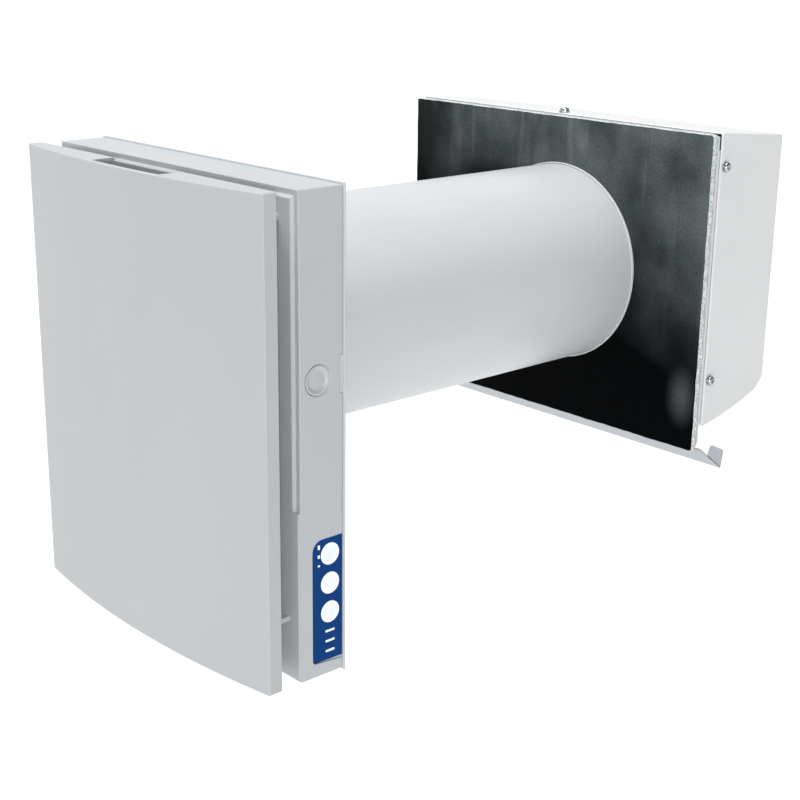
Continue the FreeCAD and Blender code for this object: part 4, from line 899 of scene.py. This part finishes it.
plateFace = backPlate["back"] + hood["metal"]
hoodLeft, hoodRight = foamLow[0], foamHigh[0]
hoodBottom, hoodTop = foamLow[2], foamHigh[2]
screwY = plateFace + hood["screwBehind"]
screwSpots = [(x, screwY, z, "X") for x in (shellHigh[0], shellLow[0]) for z in (94, -73)]
screwSpots.append((-12, screwY, shellHigh[2], "Z"))


# the cheek's outline in (y, z), anticlockwise: straight back, falling roof, upright front, rounded lower
# front corner, and a lower edge that bows a little outwards, a parabola 4 bow u (1 - u) below its chord
def cheekOutline():
    back, front, top = shellLow[1], shellHigh[1], shellHigh[2]
    low, rise = hood["lowBack"], hood["lowFront"] - hood["lowBack"]
    lower = [(back + (front - 4 - back) * u, low + rise * u - 4 * hood["lowBow"] * u * (1 - u))
             for u in np.linspace(0.04, 0.94, 9)]
    upper = [(front, hood["frontLow"]), (front, top - hood["roofFall"]), (back, top)]
    return [(back, low)] + lower + upper, [2.6] + [0.5] * len(lower) + [7.0, 2.2, 2.4]


# the shell: a slab as wide as the hood, hollowed from behind and below, and carved for screws and seams
def makeHoodShell():
    h, thick = hood, hood["metal"]
    left, right = shellLow[0], shellHigh[0]
    piece = slab("hoodShell", *cheekOutline(), "X", left, right, h["cheekBend"], "hoodPaint", 5)
    back, front, top = shellLow[1] - h["hollowBack"], shellHigh[1], shellHigh[2]
    hollow = [(back, h["hollowLow"]), (front - h["lipBack"], h["hollowLow"]),
              (front - h["lipBack"], h["lipLow"]), (front - h["lipBend"], h["lipHigh"]),
              (front - thick, h["frontLow"]), (front - thick, top - h["roofFall"] - thick),
              (back, top - thick + 0.6)]
    radii = [0.1, 0.1, 1, 4, 5, 1.4, 0.1]
    cutters = [slab("cutter", hollow, radii, "X", left + thick, right - thick, 0.9, None, 5)]
    for x, y, z, axis in screwSpots:
        centre, start = ((y, z), x) if axis == "X" else ((x, y), z)
        low, high = start - h["screwCut"], start + h["screwCut"]
        cutters.append(cylinderCutter(axis, centre, h["screwHole"], low, high, 32))
    seam, deep = front - h["seamBack"], h["seamDeep"]
    for x in (left, right):  # the seam where the front sheet laps the cheek
        low, high = (x - deep, seam, h["seamLow"]), (x + deep, seam + h["seam"], top - h["seamTop"])
        cutters.append(boxCutter(low, high))
    carve(piece, cutters)
    tie(piece, "hood_metal", "hood_shell")


# the back plate: a sheet with a round hole and its screw holes, and its three turned flanges
def makeBackPlate():
    b, thick = backPlate, hood["metal"]
    rim = denseRim((hoodLeft, hoodBottom), (hoodRight, hoodTop), 0, b["corner"], b["rimSpacing"])
    back = b["back"] + b["gap"]
    rings = [lift(rim, "Y", back), lift(rim, "Y", plateFace)]
    rings += [holeRing(rim, b["hole"], plateFace), holeRing(rim, b["hole"], back)]
    plate = ringed("hoodBackPlate", rings, "hoodPaint", "torus")
    (x, z), (reachX, reachZ) = b["screwMiddle"], b["screwReach"]
    holes = [(x + reachX * sx, z + reachZ * sz) for sx in (-1, 1) for sz in (-1, 1)]
    carve(plate, [cylinderCutter("Y", spot, b["screwHole"], *b["screwCut"], 32) for spot in holes])
    tie(plate, "hood_metal", "hood_back_plate")
    start, end = plateFace - b["flangeSink"], plateFace + b["flange"]
    side = rectangle((start, hoodBottom + b["sideLow"]), (end, hoodTop - b["sideHigh"]))
    across = rectangle((hoodLeft + b["sideHigh"], start), (hoodRight - b["sideHigh"], end))
    for name, corners, axis, level in (("Left", side, "X", hoodLeft + b["sideInset"]),
                                       ("Right", side, "X", hoodRight - b["sideInset"] - thick),
                                       ("Top", across, "Z", hoodTop - b["topInset"] - thick)):
        flange = slab("hoodFlange" + name, corners, b["flangeCorner"], axis, level, level + thick,
                      b["flangeEdge"], "hoodPaint")
        tie(flange, "hood_metal")


# the drip strip: a sheet bent down and out along the plate's foot, with an upturned tab at each end
def makeDripStrip():
    back, root, thick = backPlate["back"], hoodBottom + drip["root"], hood["metal"]
    lowY, lowZ = plateFace + drip["out"], hoodBottom - drip["down"]
    left, right = hoodLeft - drip["over"], hoodRight + drip["over"]
    corners = [(back, hoodBottom), (lowY, lowZ), (lowY, lowZ + thick), (plateFace + 0.6, root - 0.6),
               (plateFace, root), (back, root)]
    radii = [1.2, 0.3, 0.3, 0.2, 0.2, 0.1]
    # in the darker paint that stands for the strip's shade: painted shade
    strip = slab("dripStrip", corners, radii, "X", left, right, drip["edge"], "dripShadedPaint")
    tie(strip, "hood_metal")
    corners = [(back + 10.5, hoodBottom - 7), (lowY, lowZ), (lowY + 2.8, hoodBottom - 6),
               (back + 15, hoodBottom + 2)]
    for name, x in (("Left", left), ("Right", right - thick)):
        tab = slab("dripTab" + name, corners, [0.6, 1.6, 2.4, 2.4], "X", x, x + thick, drip["tabEdge"],
                   "dripShadedPaint")
        tie(tab, "hood_metal")


screw = {
    "washer": 4.6, "washerThick": 0.9, "washerHole": 1.7, "washerEdge": 0.22, "shank": 1.6,
    "length": 9, "head": 3.7, "headHigh": 2.6, "slot": 0.55, "slotReach": 2.3,
    "slotDeep": 1.3,
}


# a pan-head screw with its washer, turned about the axis: the head's profile is a quarter ellipse, with
# a cross cut in it
def makeScrews():
    w = screw["washerThick"]
    top = w + screw["headHigh"]
    a = np.linspace(0, math.pi / 2, 8)
    profile = [(screw["shank"], -screw["length"]), (screw["shank"], 0), (screw["head"], w + 0.02)]
    out, up = 0.55 + 0.45 * np.cos(a), 0.35 + 0.65 * np.sin(a)
    profile += list(zip(screw["head"] * out, w + screw["headHigh"] * up))
    profile.append((0.05, top))
    band = rectangle((screw["washerHole"], 0.02), (screw["washer"], w))
    washer = roundedOutline(band, screw["washerEdge"], steps=4)
    for number, (*spot, axis) in enumerate(screwSpots, 1):
        i = "XYZ".index(axis)
        sign = -1 if (axis == "X" and spot[0] < 0) else 1
        head = turned(f"hoodScrew{number}", [(r, sign * h) for r, h in profile], axis, spot, "zinc", 48)
        cutters = []
        for across in [k for k in range(3) if k != i]:
            size = np.full(3, screw["slot"])
            size[across] = screw["slotReach"]
            low, high = spot - size, spot + size
            low[i], high[i] = sorted((spot[i] + sign * (top - screw["slotDeep"]), spot[i] + sign * (top + 1)))
            cutters.append(boxCutter(low, high))
        carve(head, cutters)
        tie(head, "screw_steel", *(["hood_screws"] if number == 1 else []))
        ring = turned(f"hoodWasher{number}", [(r, sign * h) for r, h in washer], axis, spot, "zinc",
                      48, "torus")
        tie(ring, "screw_steel")


makeHoodShell()
makeBackPlate()
makeDripStrip()
makeScrews()
print("hood made")

filterPad = {"edge": 1.2, "middle": 0.05}


# the two filter pads in the cartridge: discs with rounded rims, turned about Y
def makeFilters():
    for name in ("indoor_filter", "outdoor_filter"):
        low, high = nodeBox(name)
        radius, thick = (high[0] - low[0]) / 2, high[1] - low[1]
        profile = [(radius - i, h) for i, h in bothEnds(filterPad["edge"], 0, thick)]
        profile = [(filterPad["middle"], 0)] + profile + [(filterPad["middle"], thick)]
        pad = turned(name.replace("_f", "F"), profile, "Y", (0, low[1], 0), "filterFoam")
        tie(pad, "filter_foam", name)


makeFilters()
print("filters made")

# finishes of the CAD nodes that stay
cadSharpAngle = 30  # degrees
cadFinish = {
    "plateAbs": ["mounting_plate"],
    "casingAbs": ["panel_catches", "panel_brackets"],
    "panelAbs": ["panel_studs"],
    "grilleAbs": ["air_grille", "shutter_frame"],
    "bladeAbs": [f"shutter_blade_{i}" for i in range(1, 6)],
    "innerAbs": ["shutter_tie_bar", "fan_housing", "flow_straightener", "indoor_filter_grid",
                 "outdoor_filter_grid", "cartridge_sleeve"],
    "blackResin": ["shutter_actuator", "fan_impeller", "relay", "control_switches"],
    "silicone": ["button_pad"],
    "board": ["control_board", "power_board"],
    "lamination": ["transformer"],
    "canSleeve": ["capacitors"],
    "greenNylon": ["terminal_block", "cable_clamp", "board_posts"],
    "rubber": ["cartridge_seals"],
    "turnedSteel": ["fan_motor", "fan_bearings", "actuator_shaft"],
    "ceramic": ["regenerator"],
    "zinc": ["frame_screws"],
}
for key, nodes in cadFinish.items():
    for node in nodes:
        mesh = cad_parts[node].data
        mesh.materials.clear()
        mesh.materials.append(finish[key])
        mesh.shade_smooth()
        mesh.set_sharp_from_angle(angle=math.radians(cadSharpAngle))
print("CAD nodes finished")

# floor, lights and camera
studio = {
    "floorLevel": -0.9, "floorSize": 120, "floorColour": "DADADA", "sky": 0.85,
    "skyNear": 0.1,
    "skyTowards": (0.93, -0.37, 0),  # the sky is dim from here on round, and bright opposite
    "skySpan": (-0.7, -0.05), "backdrop": 1, "sun": 4.3, "sunSpread": 40,
    "sunFrom": (-0.12, -0.16, 0.96), "fill": 2, "fillSpread": 8,
    "fillFrom": (0.79, -0.6, 0.12), "lens": 67.86, "place": (0.82301, -0.58326, 0.26074),
    "azimuth": 47.53, "elevation": 17.31, "roll": 0.73,
}


# the floor: one large square, a pale grey that the lights bring up to white
def makeFloor():
    half, z = studio["floorSize"] / 2, studio["floorLevel"]
    mesh = bpy.data.meshes.new("floor")
    corners = [(x, y, z) for x, y in rectangle((-half, -half), (half, half))]
    mesh.from_pydata(corners, [], [range(4)])
    floor = bpy.data.objects.new("floor", mesh)
    floor.data.materials.append(newMaterial("floor_matt_paint", studio["floorColour"], Roughness=0.9)[0])
    bpy.context.scene.collection.objects.link(floor)


# a white world, a wide soft sun from above and a low one at the right; the world's light fades from sky to
# skyNear as a direction turns towards the viewer, by their dot product, but camera rays see it even
def makeLights():
    world = bpy.data.worlds.new("studio")
    bpy.context.scene.world = world
    world.use_nodes = True
    tree = world.node_tree
    background = tree.nodes["Background"]
    background.inputs["Color"].default_value = (1, 1, 1, 1)
    direction = addNode(tree, "TexCoord").outputs["Generated"]
    near = addNode(tree, "VectorMath", {"operation": "DOT_PRODUCT"}, {1: studio["skyTowards"]},
                   {0: direction}).outputs["Value"]
    first, last = studio["skySpan"]
    limits = {"From Min": first, "From Max": last, "To Min": studio["sky"], "To Max": studio["skyNear"]}
    sky = addNode(tree, "MapRange", values=limits, links={"Value": near})
    seen = addNode(tree, "LightPath").outputs["Is Camera Ray"]
    strength = addNode(tree, "Mix", None, {3: studio["backdrop"]}, {0: seen, 2: sky.outputs["Result"]})
    tree.links.new(strength.outputs[0], background.inputs["Strength"])
    for name in ("sun", "fill"):
        light = bpy.data.lights.new(name, "SUN")
        light.energy = studio[name]
        light.angle = math.radians(studio[name + "Spread"])
        lamp = bpy.data.objects.new(name, light)
        lamp.rotation_mode = "QUATERNION"
        lamp.rotation_quaternion = Vector(studio[name + "From"]).to_track_quat("Z", "Y")
        bpy.context.scene.collection.objects.link(lamp)


# back = (sin az cos el, -cos az cos el, sin el) points from the subject to the camera, which looks down
# it and is rolled about it
def makeCamera():
    lens = bpy.data.cameras.new("camera")
    lens.lens = studio["lens"]
    camera = bpy.data.objects.new("camera", lens)
    a, e = math.radians(studio["azimuth"]), math.radians(studio["elevation"])
    back = Vector((math.sin(a) * math.cos(e), -math.cos(a) * math.cos(e), math.sin(e)))
    camera.location = studio["place"]
    camera.rotation_mode = "QUATERNION"
    turn = (-back).to_track_quat("-Z", "Y")
    camera.rotation_quaternion = Quaternion(back, math.radians(studio["roll"])) @ turn
    bpy.context.scene.collection.objects.link(camera)
    bpy.context.scene.camera = camera


makeFloor()
makeLights()
makeCamera()
bpy.context.scene.view_settings.view_transform = "Standard"
print("stage made")
